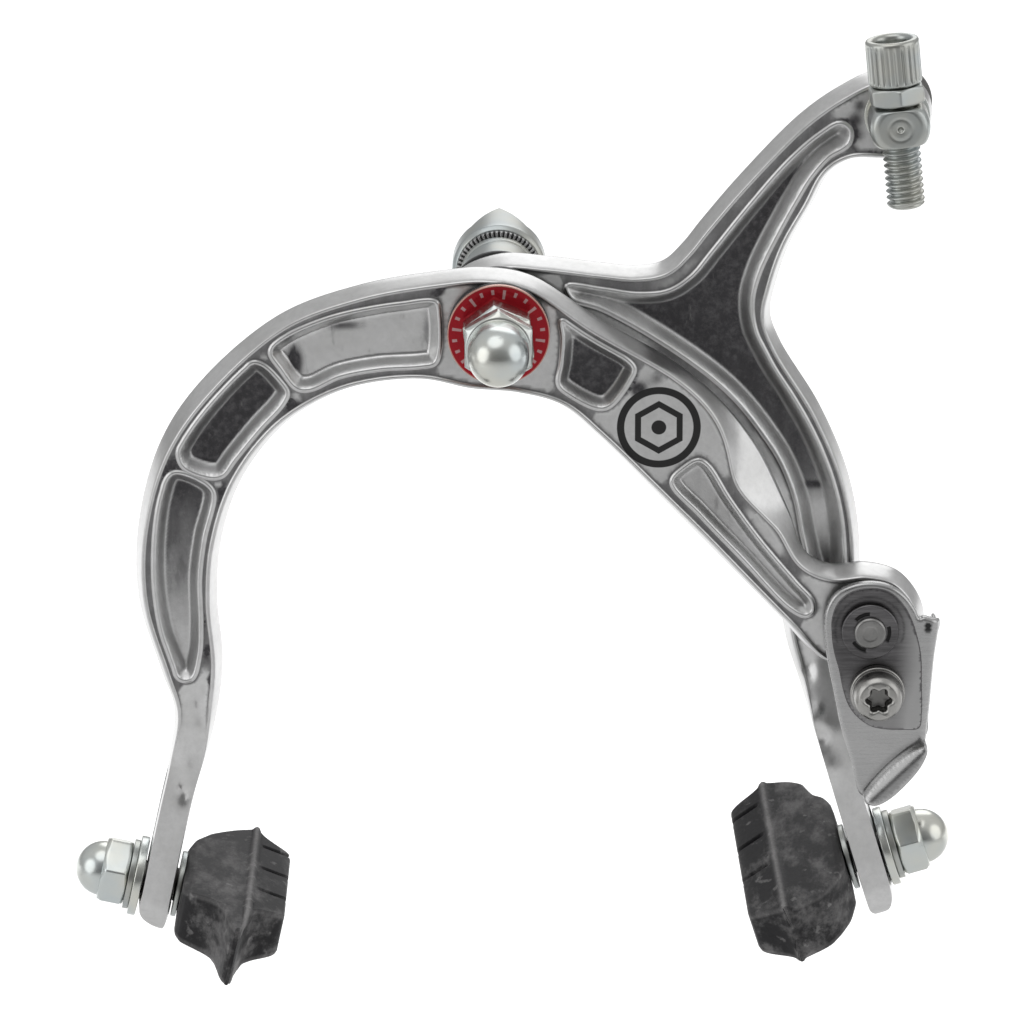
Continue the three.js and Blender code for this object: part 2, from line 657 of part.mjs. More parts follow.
function addCentreStack() {
  addTo(caliper, 'centre_bolt', centreBolt(), steel);
  addTo(caliper, 'dome_nut', domeNut(nutAcrossFlats, 3.15, stack.domeTip, ...stack.domeNut), zinc);
  addTo(caliper, 'pivot_lock_nut', hexNut(nutAcrossFlats, 3.15, ...stack.lockNut), zinc);
  addTo(caliper, 'red_washer', washer(boltHoleR, washerR, ...stack.redWasher), redPaint);
  addTo(caliper, 'front_thrust_washer', washer(boltHoleR, washerR, ...stack.frontThrust), nylon);
  addTo(caliper, 'middle_washer', washer(boltHoleR, washerR, ...stack.middleWasher), nylon);
  addTo(caliper, 'rear_thrust_washer', washer(boltHoleR, washerR, ...stack.rearThrust), nylon);
  addTo(caliper, 'spring_block', springBlock(), zinc);
  addTo(caliper, 'return_spring', returnSpring(), springSteel);
  addTo(caliper, 'toothed_washer', toothedWasher(), zinc);
  addTo(caliper, 'radius_washer', radiusWasher(), zinc);
  addTo(caliper, 'flat_washer', washer(boltHoleR, 6, ...stack.flatWasher), zinc);
  addTo(caliper, 'mounting_nut', hexNut(nutAcrossFlats, 3.15, ...stack.mountingNut), zinc);
}

function addArms() {
  addTo(caliper, 'front_arm', frontArm(), forged);
  addTo(caliper, 'rear_arm', rearArm(), forged);
}

function addAnchor() {
  addTo(caliper, 'anchor_pin', anchorPin(), steel);
  addTo(caliper, 'pin_retainer', pinRetainer(), steel);
  addTo(caliper, 'anchor_lever', leverPlate(), steel);
  addTo(caliper, 'clamp_screw', clampScrew(), zinc);
  addTo(caliper, 'clamp_washer', clampWasher(), zinc);
  addTo(caliper, 'clamp_nut', clampNut(), zinc);
}

function addCableStop() {
  const stop = new THREE.Group();
  stop.position.set(tip.x, 0, tip.z);
  stop.rotation.y = degrees(-barrel.lean);
  addTo(stop, 'barrel_swivel', barrelSwivel(), zinc);
  addTo(stop, 'swivel_washer', swivelWasher(), zinc);
  addTo(stop, 'swivel_clip', swivelClip(), steel);
  addTo(stop, 'adjuster_locknut', adjusterLocknut(), zinc);
  addTo(stop, 'adjuster_barrel', adjusterBarrel(), zinc);
  caliper.add(stop);
}

// The right pad is the left one turned round the vertical, so its nose points to the rear.
function addPad(side, blade, pitch) {
  const turnedRound = side === 'right';
  const carrier = new THREE.Group();
  carrier.position.set(blade.x, blade.y, blade.z);
  carrier.rotation.y = degrees(turnedRound ? -blade.slant : blade.slant);
  const holder = new THREE.Group();
  holder.rotation.z = turnedRound ? Math.PI : 0;
  addTo(holder, `${side}_pad_washer`, padOuterWasher(blade), zinc);
  addTo(holder, `${side}_pad_lock_washer`, padLockWasher(blade), zinc);
  addTo(holder, `${side}_pad_nut`, padNut(blade), zinc);
  addTo(holder, `${side}_pad_inner_washer`, padInnerWasher(blade), zinc);
  const shoe = new THREE.Group();
  shoe.rotation.x = degrees(pitch);
  addTo(shoe, `${side}_pad_stud`, padStud(blade), steel);
  addTo(shoe, `${side}_pad_block`, padBlock(), rubber);
  holder.add(shoe);
  carrier.add(holder);
  caliper.add(carrier);
}

addCentreStack();
addArms();
addAnchor();
addCableStop();
addPad('left', bladeLeft, 1.4);
addPad('right', bladeRight, -11.7);

export default caliper;
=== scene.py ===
import json
import math
import bpy
import bmesh
import numpy as np
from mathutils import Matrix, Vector
from mathutils.geometry import delaunay_2d_cdt


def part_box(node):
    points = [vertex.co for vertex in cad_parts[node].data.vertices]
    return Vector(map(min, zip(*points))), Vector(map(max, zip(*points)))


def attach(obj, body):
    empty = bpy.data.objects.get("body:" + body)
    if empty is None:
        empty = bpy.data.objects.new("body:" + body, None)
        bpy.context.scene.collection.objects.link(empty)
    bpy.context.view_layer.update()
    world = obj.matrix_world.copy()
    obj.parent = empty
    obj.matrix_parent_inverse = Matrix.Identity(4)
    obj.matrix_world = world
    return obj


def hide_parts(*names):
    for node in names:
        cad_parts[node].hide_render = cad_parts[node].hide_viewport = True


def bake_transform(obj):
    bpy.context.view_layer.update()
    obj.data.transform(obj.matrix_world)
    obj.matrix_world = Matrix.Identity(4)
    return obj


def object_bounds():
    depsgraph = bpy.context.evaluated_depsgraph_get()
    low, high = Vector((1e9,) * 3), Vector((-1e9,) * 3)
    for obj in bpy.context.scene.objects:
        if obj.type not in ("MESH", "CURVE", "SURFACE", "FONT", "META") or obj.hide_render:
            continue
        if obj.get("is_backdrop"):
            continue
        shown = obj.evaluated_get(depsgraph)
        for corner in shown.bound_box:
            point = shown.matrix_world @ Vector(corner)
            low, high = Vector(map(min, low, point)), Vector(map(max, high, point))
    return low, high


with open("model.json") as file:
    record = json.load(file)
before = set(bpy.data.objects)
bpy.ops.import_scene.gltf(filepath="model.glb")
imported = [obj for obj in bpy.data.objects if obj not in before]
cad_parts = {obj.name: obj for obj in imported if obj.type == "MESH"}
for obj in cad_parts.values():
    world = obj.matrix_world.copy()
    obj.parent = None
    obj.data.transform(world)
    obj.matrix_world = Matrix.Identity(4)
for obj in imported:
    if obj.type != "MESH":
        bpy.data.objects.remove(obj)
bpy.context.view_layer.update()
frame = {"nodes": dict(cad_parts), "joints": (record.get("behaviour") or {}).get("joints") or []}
joints = {joint["name"]: joint for joint in frame["joints"]}
print("stage: frame loaded,", len(frame["nodes"]), "nodes")

# All lengths below are millimetres in the frame's axes; meshPiece turns them into metres.
millimetre = 0.001


def boxOf(node):
    low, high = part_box(node)
    return np.array(low) / millimetre, np.array(high) / millimetre


def pivotOf(joint):
    return np.array(joints[joint]["pos_m"]) / millimetre


def axisOf(joint):
    axis = np.array(joints[joint]["axis"], float)
    return axis / np.linalg.norm(axis)


cameraPlan = {"target": (2.06, -42.6, -28.44), "distance": 1000.0, "elevation": 17.0, "lens": 226.7}


def makeCamera(plan):
    lens = bpy.data.cameras.new("camera")
    lens.lens, lens.sensor_width = plan["lens"], 36
    camera = bpy.data.objects.new("camera", lens)
    tilt = math.radians(plan["elevation"])
    offset = np.array([0, -math.cos(tilt), math.sin(tilt)]) * plan["distance"]
    camera.location = Vector((np.array(plan["target"]) + offset) * millimetre)
    camera.rotation_euler = (math.pi / 2 - tilt, 0, 0)
    bpy.context.scene.collection.objects.link(camera)
    bpy.context.scene.camera = camera


makeCamera(cameraPlan)

lightPlan = {
    "top": {"at": (-120, -250, 700), "size": 700, "watts": 1.05},
    "left": {"at": (-760, -420, 180), "size": 800, "watts": 1.6},
    "right": {"at": (760, -300, 240), "size": 800, "watts": 1.2},
    "behind": {"at": (100, 620, 420), "size": 600, "watts": 1.0},
}


def makeLights(plan):
    target = Vector(cameraPlan["target"]) * millimetre
    for name, entry in plan.items():
        light = bpy.data.lights.new("light_" + name, "AREA")
        light.shape, light.size, light.energy = "DISK", entry["size"] * millimetre, entry["watts"]
        lamp = bpy.data.objects.new("light_" + name, light)
        lamp.location = Vector(entry["at"]) * millimetre
        lamp.rotation_euler = (target - lamp.location).to_track_quat("-Z", "Y").to_euler()
        bpy.context.scene.collection.objects.link(lamp)


makeLights(lightPlan)


class Value:
    def __init__(self, finish, socket):
        self.finish, self.socket = finish, socket

    def math(self, operation, *others):
        settings = {"operation": operation}
        return self.finish.add("ShaderNodeMath", settings, dict(enumerate([self, *others])))

    def __add__(self, other):
        return self.math("ADD", other)

    def __radd__(self, other):
        return self.math("ADD", other)

    def __sub__(self, other):
        return self.math("SUBTRACT", other)

    def __rsub__(self, other):
        return (self * -1) + other

    def __mul__(self, other):
        return self.math("MULTIPLY", other)

    def __rmul__(self, other):
        return self.math("MULTIPLY", other)

    def __truediv__(self, other):
        return self.math("DIVIDE", other)

    def __pow__(self, other):
        return self.math("POWER", other)

    def above(self, edge, width):   # 0 below the edge, 1 above it, smooth over the width
        steps = {1: edge - width / 2, 2: edge + width / 2, 3: 0.0, 4: 1.0}
        settings = {"interpolation_type": "SMOOTHSTEP"}
        return self.finish.add("ShaderNodeMapRange", settings, {0: self, **steps})

    def clamped(self):
        return self.finish.add("ShaderNodeClamp", {}, {0: self})


class Finish:
    def __init__(self, name, **fixed):
        self.material = bpy.data.materials.new(name)
        self.material.use_nodes = True
        self.tree = self.material.node_tree
        self.tree.nodes.clear()
        self.shader = self.tree.nodes.new("ShaderNodeBsdfPrincipled")
        output = self.tree.nodes.new("ShaderNodeOutputMaterial")
        self.tree.links.new(self.shader.outputs[0], output.inputs["Surface"])
        for socket, value in fixed.items():
            self.shader.inputs[socket.replace("_", " ")].default_value = value

    def add(self, kind, settings, values, output=0):
        node = self.tree.nodes.new(kind)
        for key, value in settings.items():
            if key == "stops":
                ramp = node.color_ramp
                while len(ramp.elements) < len(value):
                    ramp.elements.new(0.5)
                for element, (position, colour) in zip(ramp.elements, value):
                    element.position, element.color = position, (*colour, 1)
            else:
                setattr(node, key, value)
        for key, value in values.items():
            self.feed(node.inputs[key], value)
        return Value(self, node.outputs[output])

    def feed(self, socket, value):
        if isinstance(value, Value):
            self.tree.links.new(value.socket, socket)
        else:
            socket.default_value = value

    def place(self, stretch=(1, 1, 1), turn=(0, 0, 0), shift=(0, 0, 0)):
        spot = self.add("ShaderNodeTexCoord", {}, {}, "Object")
        return self.add("ShaderNodeMapping", {}, {"Vector": spot, "Location": shift, "Rotation": turn,
                                                  "Scale": stretch})

    def noise(self, scale, detail=3.0, rough=0.55, **where):
        values = {"Vector": self.place(**where), "Scale": scale, "Detail": detail, "Roughness": rough}
        return self.add("ShaderNodeTexNoise", {}, values)

    def attribute(self, name):
        return self.add("ShaderNodeAttribute", {"attribute_name": name}, {}, "Fac")

    def mix(self, share, first, second):   # colours
        first, second = [(*c, 1) if isinstance(c, tuple) and len(c) == 3 else c for c in (first, second)]
        return self.add("ShaderNodeMix", {"data_type": "RGBA"}, {0: share, 6: first, 7: second}, 2)

    def bump(self, height, strength, distance, under=None):
        values = {"Height": height, "Strength": strength, "Distance": distance * millimetre}
        if under is not None:
            values["Normal"] = under
        return self.add("ShaderNodeBump", {}, values)

    def finish(self, **sockets):
        for socket, value in sockets.items():
            self.feed(self.shader.inputs[socket.replace("_", " ")], value)
        return self.material


def smoothStep(edge0, edge1, x):
    t = np.clip((x - edge0) / (edge1 - edge0), 0, 1)
    return t * t * (3 - 2 * t)


# A smooth curve through the points (cubic pieces whose end slopes follow the neighbouring points),
# resampled to equal steps; focus above 0 takes shorter steps where the curve bends.
def curveThrough(points, count, closed=True, focus=0.0, steps=24):
    p = np.asarray(points, float)
    if closed:
        p0, p1, p2, p3 = np.roll(p, 1, 0), p, np.roll(p, -1, 0), np.roll(p, -2, 0)
    else:
        padded = np.vstack([2 * p[0] - p[1], p, 2 * p[-1] - p[-2]])
        p0, p1, p2, p3 = padded[:-3], padded[1:-2], padded[2:-1], padded[3:]
    gap = lambda a, b: np.maximum(np.linalg.norm(b - a, axis=1, keepdims=True), 1e-6) ** 0.5
    a, b, c = gap(p0, p1), gap(p1, p2), gap(p2, p3)
    m1 = (p2 - p1) + b * ((p1 - p0) / a - (p2 - p0) / (a + b))
    m2 = (p2 - p1) + b * ((p3 - p2) / c - (p3 - p1) / (b + c))
    s = np.linspace(0, 1, steps, endpoint=False)[:, None, None]
    fine = ((2 * s**3 - 3 * s**2 + 1) * p1 + (s**3 - 2 * s**2 + s) * m1
            + (3 * s**2 - 2 * s**3) * p2 + (s**3 - s**2) * m2)
    fine = fine.transpose(1, 0, 2).reshape(-1, p.shape[1])
    fine = np.vstack([fine, p[:1] if closed else p[-1:]])
    step = np.linalg.norm(np.diff(fine, axis=0), axis=1)
    if focus:
        way = np.diff(fine, axis=0) / np.maximum(step, 1e-9)[:, None]
        bend = np.linalg.norm(way - np.roll(way, 1, 0), axis=1) / np.maximum(step, 1e-3)
        bend = np.convolve(np.concatenate([bend[-12:], bend, bend[:12]]), np.ones(25) / 25, "valid")
        step = step * (1 + focus * np.minimum(bend, 1.5))
    along = np.concatenate([[0], np.cumsum(step)])
    want = np.linspace(0, along[-1], count, endpoint=not closed)
    return np.stack([np.interp(want, along, fine[:, k]) for k in range(p.shape[1])], 1)


# The inward unit normal of a closed loop in a plane.
def inwardOf(loop):
    way = np.roll(loop, -1, 0) - np.roll(loop, 1, 0)
    normal = np.stack([-way[:, 1], way[:, 0]], 1) / np.linalg.norm(way, axis=1, keepdims=True)
    nextOne = np.roll(loop, -1, 0)
    area = np.sum(loop[:, 0] * nextOne[:, 1] - nextOne[:, 0] * loop[:, 1])
    return normal if area > 0 else -normal


# Quads between neighbouring rows of a grid (rows, columns), closed round the columns or not.
def gridFaces(rows, columns, closed=True, first=0):
    r, c = np.meshgrid(np.arange(rows - 1), np.arange(columns if closed else columns - 1), indexing="ij")
    after = (c + 1) % columns
    quads = np.stack([r * columns + c, r * columns + after, (r + 1) * columns + after, (r + 1) * columns + c],
                     -1)
    return quads.reshape(-1, 4) + first


def insideLoop(points, loop):
    x, z = points[:, 0][:, None], points[:, 1][:, None]
    x0, z0 = loop[:, 0][None], loop[:, 1][None]
    x1, z1 = np.roll(loop[:, 0], -1)[None], np.roll(loop[:, 1], -1)[None]
    spans = (z0 > z) != (z1 > z)
    cross = x0 + (z - z0) * (x1 - x0) / np.where(z1 == z0, 1e-12, z1 - z0)
    return (np.sum(spans & (x < cross), 1) % 2).astype(bool)


def distanceTo(points, loop):
    best = np.full(len(points), 1e9)
    for start in range(0, len(loop), 200):
        part = loop[start:start + 200]
        best = np.minimum(best, np.min(np.linalg.norm(points[:, None] - part[None], axis=2), 1))
    return best


# Triangles over a plane region inside the outer loop and outside the holes, with a lattice of inner points.
def fillRegion(outer, holes=(), spacing=1.5):
    loops = [outer, *holes]
    low, high = outer.min(0), outer.max(0)
    gx, gz = np.meshgrid(np.arange(low[0], high[0], spacing), np.arange(low[1], high[1], spacing * 0.87))
    gx[1::2] += spacing / 2
    lattice = np.stack([gx.ravel(), gz.ravel()], 1)
    keep = insideLoop(lattice, outer)
    for hole in holes:
        keep &= ~insideLoop(lattice, hole)
    lattice = lattice[keep]
    for loop in loops:
        lattice = lattice[distanceTo(lattice, loop) > spacing * 0.45]
    points = np.vstack([*loops, lattice])
    edges, start = [], 0
    for loop in loops:
        n = len(loop)
        edges += [(start + i, start + (i + 1) % n) for i in range(n)]
        start += n
    result = delaunay_2d_cdt([Vector(p) for p in points], edges, [], 0, 1e-5)
    flat = np.array([tuple(v) for v in result[0]])
    faces = np.array([f for f in result[2] if len(f) == 3])
    centre = flat[faces].mean(1)
    good = insideLoop(centre, outer)
    for hole in holes:
        good &= ~insideLoop(centre, hole)
    return flat, faces[good]


# Puts surfaces together into one mesh piece. Each surface is (points in millimetres, faces, {attribute: values}).
def meshPiece(name, surfaces, sharp=None, weld=0.002):
    points, faces, values, start = [], [], {}, 0
    names = sorted({key for surface in surfaces if len(surface) > 2 for key in surface[2]})
    for surface in surfaces:
        vertices = np.asarray(surface[0], float)
        points.append(vertices)
        faces += (np.asarray(surface[1]) + start).tolist()
        given = surface[2] if len(surface) > 2 else {}
        for key in names:
            values.setdefault(key, []).append(np.broadcast_to(given.get(key, 0.0), len(vertices)))
        start += len(vertices)
    mesh = bpy.data.meshes.new(name)
    mesh.from_pydata((np.vstack(points) * millimetre).tolist(), [], faces)
    for key in names:
        layer = mesh.attributes.new(key, "FLOAT", "POINT")
        layer.data.foreach_set("value", np.concatenate(values[key]).astype(np.float32))
    work = bmesh.new()
    work.from_mesh(mesh)
    bmesh.ops.remove_doubles(work, verts=work.verts, dist=weld * millimetre)
    bmesh.ops.dissolve_degenerate(work, edges=work.edges, dist=weld * millimetre * 0.5)
    bmesh.ops.recalc_face_normals(work, faces=work.faces)
    work.to_mesh(mesh)
    work.free()
    mesh.shade_smooth()
    if sharp:
        mesh.set_sharp_from_angle(angle=math.radians(sharp))
    piece = bpy.data.objects.new(name, mesh)
    bpy.context.scene.collection.objects.link(piece)
    return piece


def finishPiece(piece, material, body, slot, *nodes):
    piece.data.materials.clear()
    piece.data.materials.append(material)
    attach(piece, body)
    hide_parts(*nodes)
    return piece


def cutAway(piece, cutters):
    for cutter in cutters:
        modifier = piece.modifiers.new("cut", "BOOLEAN")
        modifier.operation, modifier.object, modifier.solver = "DIFFERENCE", cutter, "EXACT"
        bpy.context.view_layer.update()
        solved = bpy.data.meshes.new_from_object(piece.evaluated_get(bpy.context.evaluated_depsgraph_get()))
        piece.modifiers.clear()
        piece.data = solved
        bpy.data.objects.remove(cutter)


# A frame of axes to build in: local (x, y, z) lands at origin + x*right + y*forward + z*up.
def placed(points, origin, right, forward, up):
    return np.asarray(origin) + points @ np.array([right, forward, up])


# A turned surface about local z: for each profile point (r, z) one ring; reach(angle, r, z) may change r,
# lift(angle, r, z) may change z. Several flats cut the ring to a polygon of that many sides.
def turned(profile, sides=72, flats=0, across=0.0, reach=None, lift=None, close=False, round=0.12, phase=0.0):
    profile = np.asarray(profile, float)
    angle = np.arange(sides) / sides * 2 * math.pi
    r = np.repeat(profile[:, :1], sides, 1)
    z = np.repeat(profile[:, 1:2], sides, 1)
    a = np.repeat(angle[None], len(profile), 0)
    if flats:
        sector = 2 * math.pi / flats
        away = (a - phase + sector / 2) % sector - sector / 2
        side = across / 2 / np.maximum(np.cos(away), 0.05)
        r = 0.5 * (r + side - np.sqrt((r - side) ** 2 + (round * np.minimum(r / 2, 1)) ** 2))
        r = np.maximum(r, 0)
    if reach:
        r = reach(a, r, z)
    if lift:
        z = lift(a, r, z)
    points = np.stack([r * np.cos(a), r * np.sin(a), z], -1).reshape(-1, 3)
    faces = gridFaces(len(profile), sides)
    if close:
        n = len(profile)
        ends = np.arange(sides)
        after = (ends + 1) % sides
        joint = np.stack([(n - 1) * sides + ends, (n - 1) * sides + after, after, ends], 1)
        faces = np.vstack([faces, joint])
    return points, faces


# Fine points along a polyline profile whose corners are rounded by the given radius.
def profileLine(points, radius=0.25, step=0.35):
    p = np.asarray(points, float)
    out = [p[0]]
    for before, here, after in zip(p[:-2], p[1:-1], p[2:]):
        back, ahead = before - here, after - here
        lb, la = np.linalg.norm(back), np.linalg.norm(ahead)
        reach = min(radius, lb * 0.45, la * 0.45)
        start, end = here + back / lb * reach, here + ahead / la * reach
        for t in (0, 0.25, 0.5, 0.75, 1):
            out.append((1 - t) ** 2 * start + 2 * t * (1 - t) * here + t * t * end)
    out.append(p[-1])
    dense = [out[0]]
    for here in out[1:]:
        gap = np.linalg.norm(here - dense[-1])
        extra = int(gap / (step * 4))
        last = dense[-1]
        dense += [last + (here - last) * (k + 1) / (extra + 1) for k in range(extra)]
        dense.append(here)
    return np.array(dense)


print("stage: tools ready")


# Polished forging: light grey with a fine grain; tone (an attribute) turns it to the dark sandy skin
# of the sunk fields and also paints shade: dark lines in the grooves by the edges and beads, and shade
# spots in recesses. Sheen of the floors comes back where polish (an attribute) is high.
def forgedFinish(name, badge=None):
    f = Finish(name, Metallic=1.0)
    tone = f.attribute("tone")
    polish = f.attribute("polish")
    grain = f.noise(900, detail=6, rough=0.7)
    cloud = f.noise(120, detail=4)
    scuff = f.noise(260, detail=5, rough=0.65, stretch=(1, 1, 0.35))
    speck = f.noise(2600, detail=2)
    dark = (tone * (0.82 + 0.36 * grain) + (scuff - 0.5) * tone * 0.5 + (scuff.above(0.60, 0.12) * polish * 0.22)).clamped()
    light = f.mix(cloud.above(0.5, 0.5), (0.60, 0.60, 0.595), (0.70, 0.70, 0.70))
    light = f.mix(grain.above(0.52, 0.4) * 0.30, light, (0.44, 0.44, 0.44))
    deep = f.mix(grain.above(0.55, 0.3), (0.075, 0.073, 0.077), (0.145, 0.142, 0.147))
    scratch = (scuff.above(0.66, 0.06) * tone * 0.5).clamped()
    colour = f.mix(dark.above(0.45, 0.6), light, deep)
    colour = f.mix(scratch, colour, (0.36, 0.355, 0.35))
    rough = 0.25 + 0.08 * cloud + dark * 0.30 - polish * 0.12
    fine = f.bump(grain, 0.35, 0.03)
    if badge:
        x, z, outer, band, hexagon = (badge[key] for key in ("x", "z", "outer", "band", "hexagon"))
        place = f.add("ShaderNodeTexCoord", {}, {}, "Object")
        local = f.add("ShaderNodeVectorMath", {"operation": "SUBTRACT"},
                      {0: place, 1: (x * 0.001, 0, z * 0.001)})
        split = f.add("ShaderNodeSeparateXYZ", {}, {0: local})
        across, up = split * 1000, Value(f, split.socket.node.outputs[2]) * 1000
        radius = (across * across + up * up) ** 0.5
        ring = radius.above(outer - band, 0.12) * (1 - radius.above(outer, 0.12))
        tilted = [(across * math.cos(t) + up * math.sin(t)).math("ABSOLUTE") for t in (0, math.pi / 3,
                                                                                       -math.pi / 3)]
        hexRadius = tilted[0].math("MAXIMUM", tilted[1]).math("MAXIMUM", tilted[2])
        nut = hexRadius.above(hexagon - 0.95, 0.1) * (1 - hexRadius.above(hexagon, 0.1))
        dot = 1 - radius.above(1.15, 0.1)
        side = Value(f, split.socket.node.outputs[1])
        inked = ((ring + nut + dot) * (1 - (side * 1000).above(badge["behind"], 0.2))).clamped()
        colour = f.mix(inked, colour, (0.004, 0.004, 0.004))
        rough = rough + inked * 0.12
        f.finish(Metallic=1 - inked)
    bumpy = f.bump(dark * (0.4 + grain + speck * 0.4), 0.55, 0.10, under=fine)
    return f.finish(Base_Color=colour, Roughness=rough.clamped(), Normal=bumpy)


# Bright zinc plate: faint blue and straw clouds, slightly uneven gloss.
def zincFinish(name, shade=1.0, rough=0.2):
    f = Finish(name, Metallic=1.0)
    cloud = f.noise(90, detail=3)
    fine = f.noise(700, detail=5)
    cool, warm = (0.60 * shade, 0.65 * shade, 0.66 * shade), (0.70 * shade, 0.70 * shade, 0.64 * shade)
    colour = f.mix(cloud.above(0.5, 0.35), cool, warm)
    colour = f.mix(fine.above(0.72, 0.1) * 0.35, colour, (0.34, 0.36, 0.37))
    return f.finish(Base_Color=colour, Roughness=rough + 0.10 * fine, Normal=f.bump(fine, 0.25, 0.03))


# Rolled steel with brush lines along one direction; tone (an attribute) paints shade near black, and pale (an
# attribute) turns it a lighter grey.
def brushedFinish(name, low, high, rough=0.32, stretch=(1, 1, 12)):
    f = Finish(name, Metallic=1.0)
    lines = f.noise(160, detail=6, rough=0.75, stretch=stretch)
    cloud = f.noise(70, detail=3)
    tone = f.attribute("tone")
    colour = f.mix((lines * 0.7 + cloud * 0.3).above(0.5, 0.35), low, high)
    colour = f.mix(f.attribute("pale"), colour, (0.50, 0.50, 0.50))
    colour = f.mix(tone, colour, (0.02, 0.02, 0.02))
    return f.finish(Base_Color=colour, Roughness=rough + (lines - 0.5) * 0.25,
                    Normal=f.bump(lines, 0.3, 0.04))


# Moulded rubber with chalky rubs and small nicks; tone (an attribute) adds a painted highlight along the ridge and the
# edges.
def rubberFinish(name):
    f = Finish(name, Specular_IOR_Level=0.22)
    tone = f.attribute("tone")
    rub = f.noise(150, detail=7, rough=0.7, stretch=(1, 0.5, 1))
    fine = f.noise(1400, detail=4, rough=0.7)
    spots = f.noise(420, detail=3)
    chalkAndHighlight = ((rub.above(0.56, 0.20) * 0.75 + spots.above(0.66, 0.08) * 0.6 + tone * 1.1) * (0.35 + fine * 0.9)).clamped()
    colour = f.mix(fine, (0.008, 0.008, 0.009), (0.030, 0.029, 0.031))
    colour = f.mix(chalkAndHighlight, colour, (0.24, 0.235, 0.235))
    height = fine * 0.6 + rub * 0.8
    return f.finish(Base_Color=colour, Roughness=0.5 + chalkAndHighlight * 0.3, Normal=f.bump(height, 0.4, 0.12))


def nylonFinish(name):
    f = Finish(name)
    fine = f.noise(900, detail=4)
    colour = f.mix(fine, (0.02, 0.02, 0.021), (0.045, 0.045, 0.046))
    return f.finish(Base_Color=colour, Roughness=0.45 + fine * 0.2, Normal=f.bump(fine, 0.3, 0.05))


# Gloss red with plain white tick marks round the rim of the washer, in place of any wording.
def redFinish(name, ticks):
    f = Finish(name, Coat_Weight=0.25, Coat_Roughness=0.06, Metallic=0.45, Specular_IOR_Level=0.2)
    place = f.add("ShaderNodeTexCoord", {}, {}, "Object")
    split = f.add("ShaderNodeSeparateXYZ", {}, {0: place})
    x, z = split * 1000, Value(f, split.socket.node.outputs[2]) * 1000
    radius = (x * x + z * z) ** 0.5
    turn = z.math("ARCTAN2", x) * (ticks["count"] / (2 * math.pi))
    inStep = (turn.math("FRACT") - 0.5).math("ABSOLUTE")
    longOne = (turn * (1 / 3)).math("FRACT").above(0.66, 0.02)
    start = ticks["start"] - longOne * 0.7
    mark = (1 - inStep.above(ticks["width"], 0.04)) * radius.math("SUBTRACT", start).above(0, 0.1)
    mark = (mark * (1 - radius.above(ticks["end"], 0.1))).clamped()
    fine = f.noise(500, detail=4)
    colour = f.mix(fine, (0.30, 0.003, 0.010), (0.40, 0.006, 0.016))
    colour = f.mix(mark * 0.6, colour, (0.62, 0.50, 0.50))
    edge = radius.above(ticks["rim"], 0.12)
    colour = f.mix(edge * 0.6, colour, (0.75, 0.55, 0.45))
    return f.finish(Base_Color=colour, Roughness=0.16 + fine * 0.06, Normal=f.bump(fine, 0.15, 0.02))


badgePlan = {"x": 24.8, "z": -15.5, "outer": 6.5, "band": 1.15, "hexagon": 3.7, "behind": -38.5}
frontForged = forgedFinish("forged_front", badgePlan)
rearForged = forgedFinish("forged_rear")
zinc = zincFinish("zinc_plate")
zincGrey = zincFinish("zinc_grey", 0.72, 0.26)
plateSteel = brushedFinish("plate_brushed", (0.085, 0.083, 0.085), (0.20, 0.195, 0.20))
panelSteel = brushedFinish("panel_steel", (0.42, 0.42, 0.42), (0.52, 0.52, 0.52), 0.28)
darkSteel = brushedFinish("dark_steel", (0.22, 0.22, 0.215), (0.34, 0.335, 0.33), 0.34, (1, 1, 1))
wireSteel = brushedFinish("spring_wire", (0.30, 0.30, 0.30), (0.46, 0.46, 0.46), 0.28, (1, 1, 1))
warmSteel = brushedFinish("warm_steel", (0.36, 0.355, 0.34), (0.46, 0.455, 0.44), 0.3, (1, 1, 1))
rubber = rubberFinish("rubber_moulded")
nylon = nylonFinish("nylon_moulded")
redGloss = redFinish("red_gloss", {"count": 24, "width": 0.13, "start": 6.45, "end": 7.2, "rim": 7.72})
print("stage: finishes ready")


# The rounding of an arm's edge: (inset from the parting line, share of the way to the face).
armEdge = [(0, 0), (0.03, 0.08), (0.27, 0.3), (0.55, 0.55), (0.82, 0.78), (0.97, 0.89), (1.08, 0.95),
           (1.2, 0.988), (1.34, 1.0), (1.48, 0.995), (1.6, 0.97), (1.7, 0.94), (1.8, 0.93)]
webShare = 0.93
# The bead round a sunk field: (inset from its crest, rise above the web), then the wall down to the floor.
beadRise = [(-0.62, 0.0), (-0.48, 0.02), (-0.34, 0.12), (-0.2, 0.24), (-0.06, 0.31), (0.08, 0.32),
            (0.22, 0.26), (0.36, 0.1)]

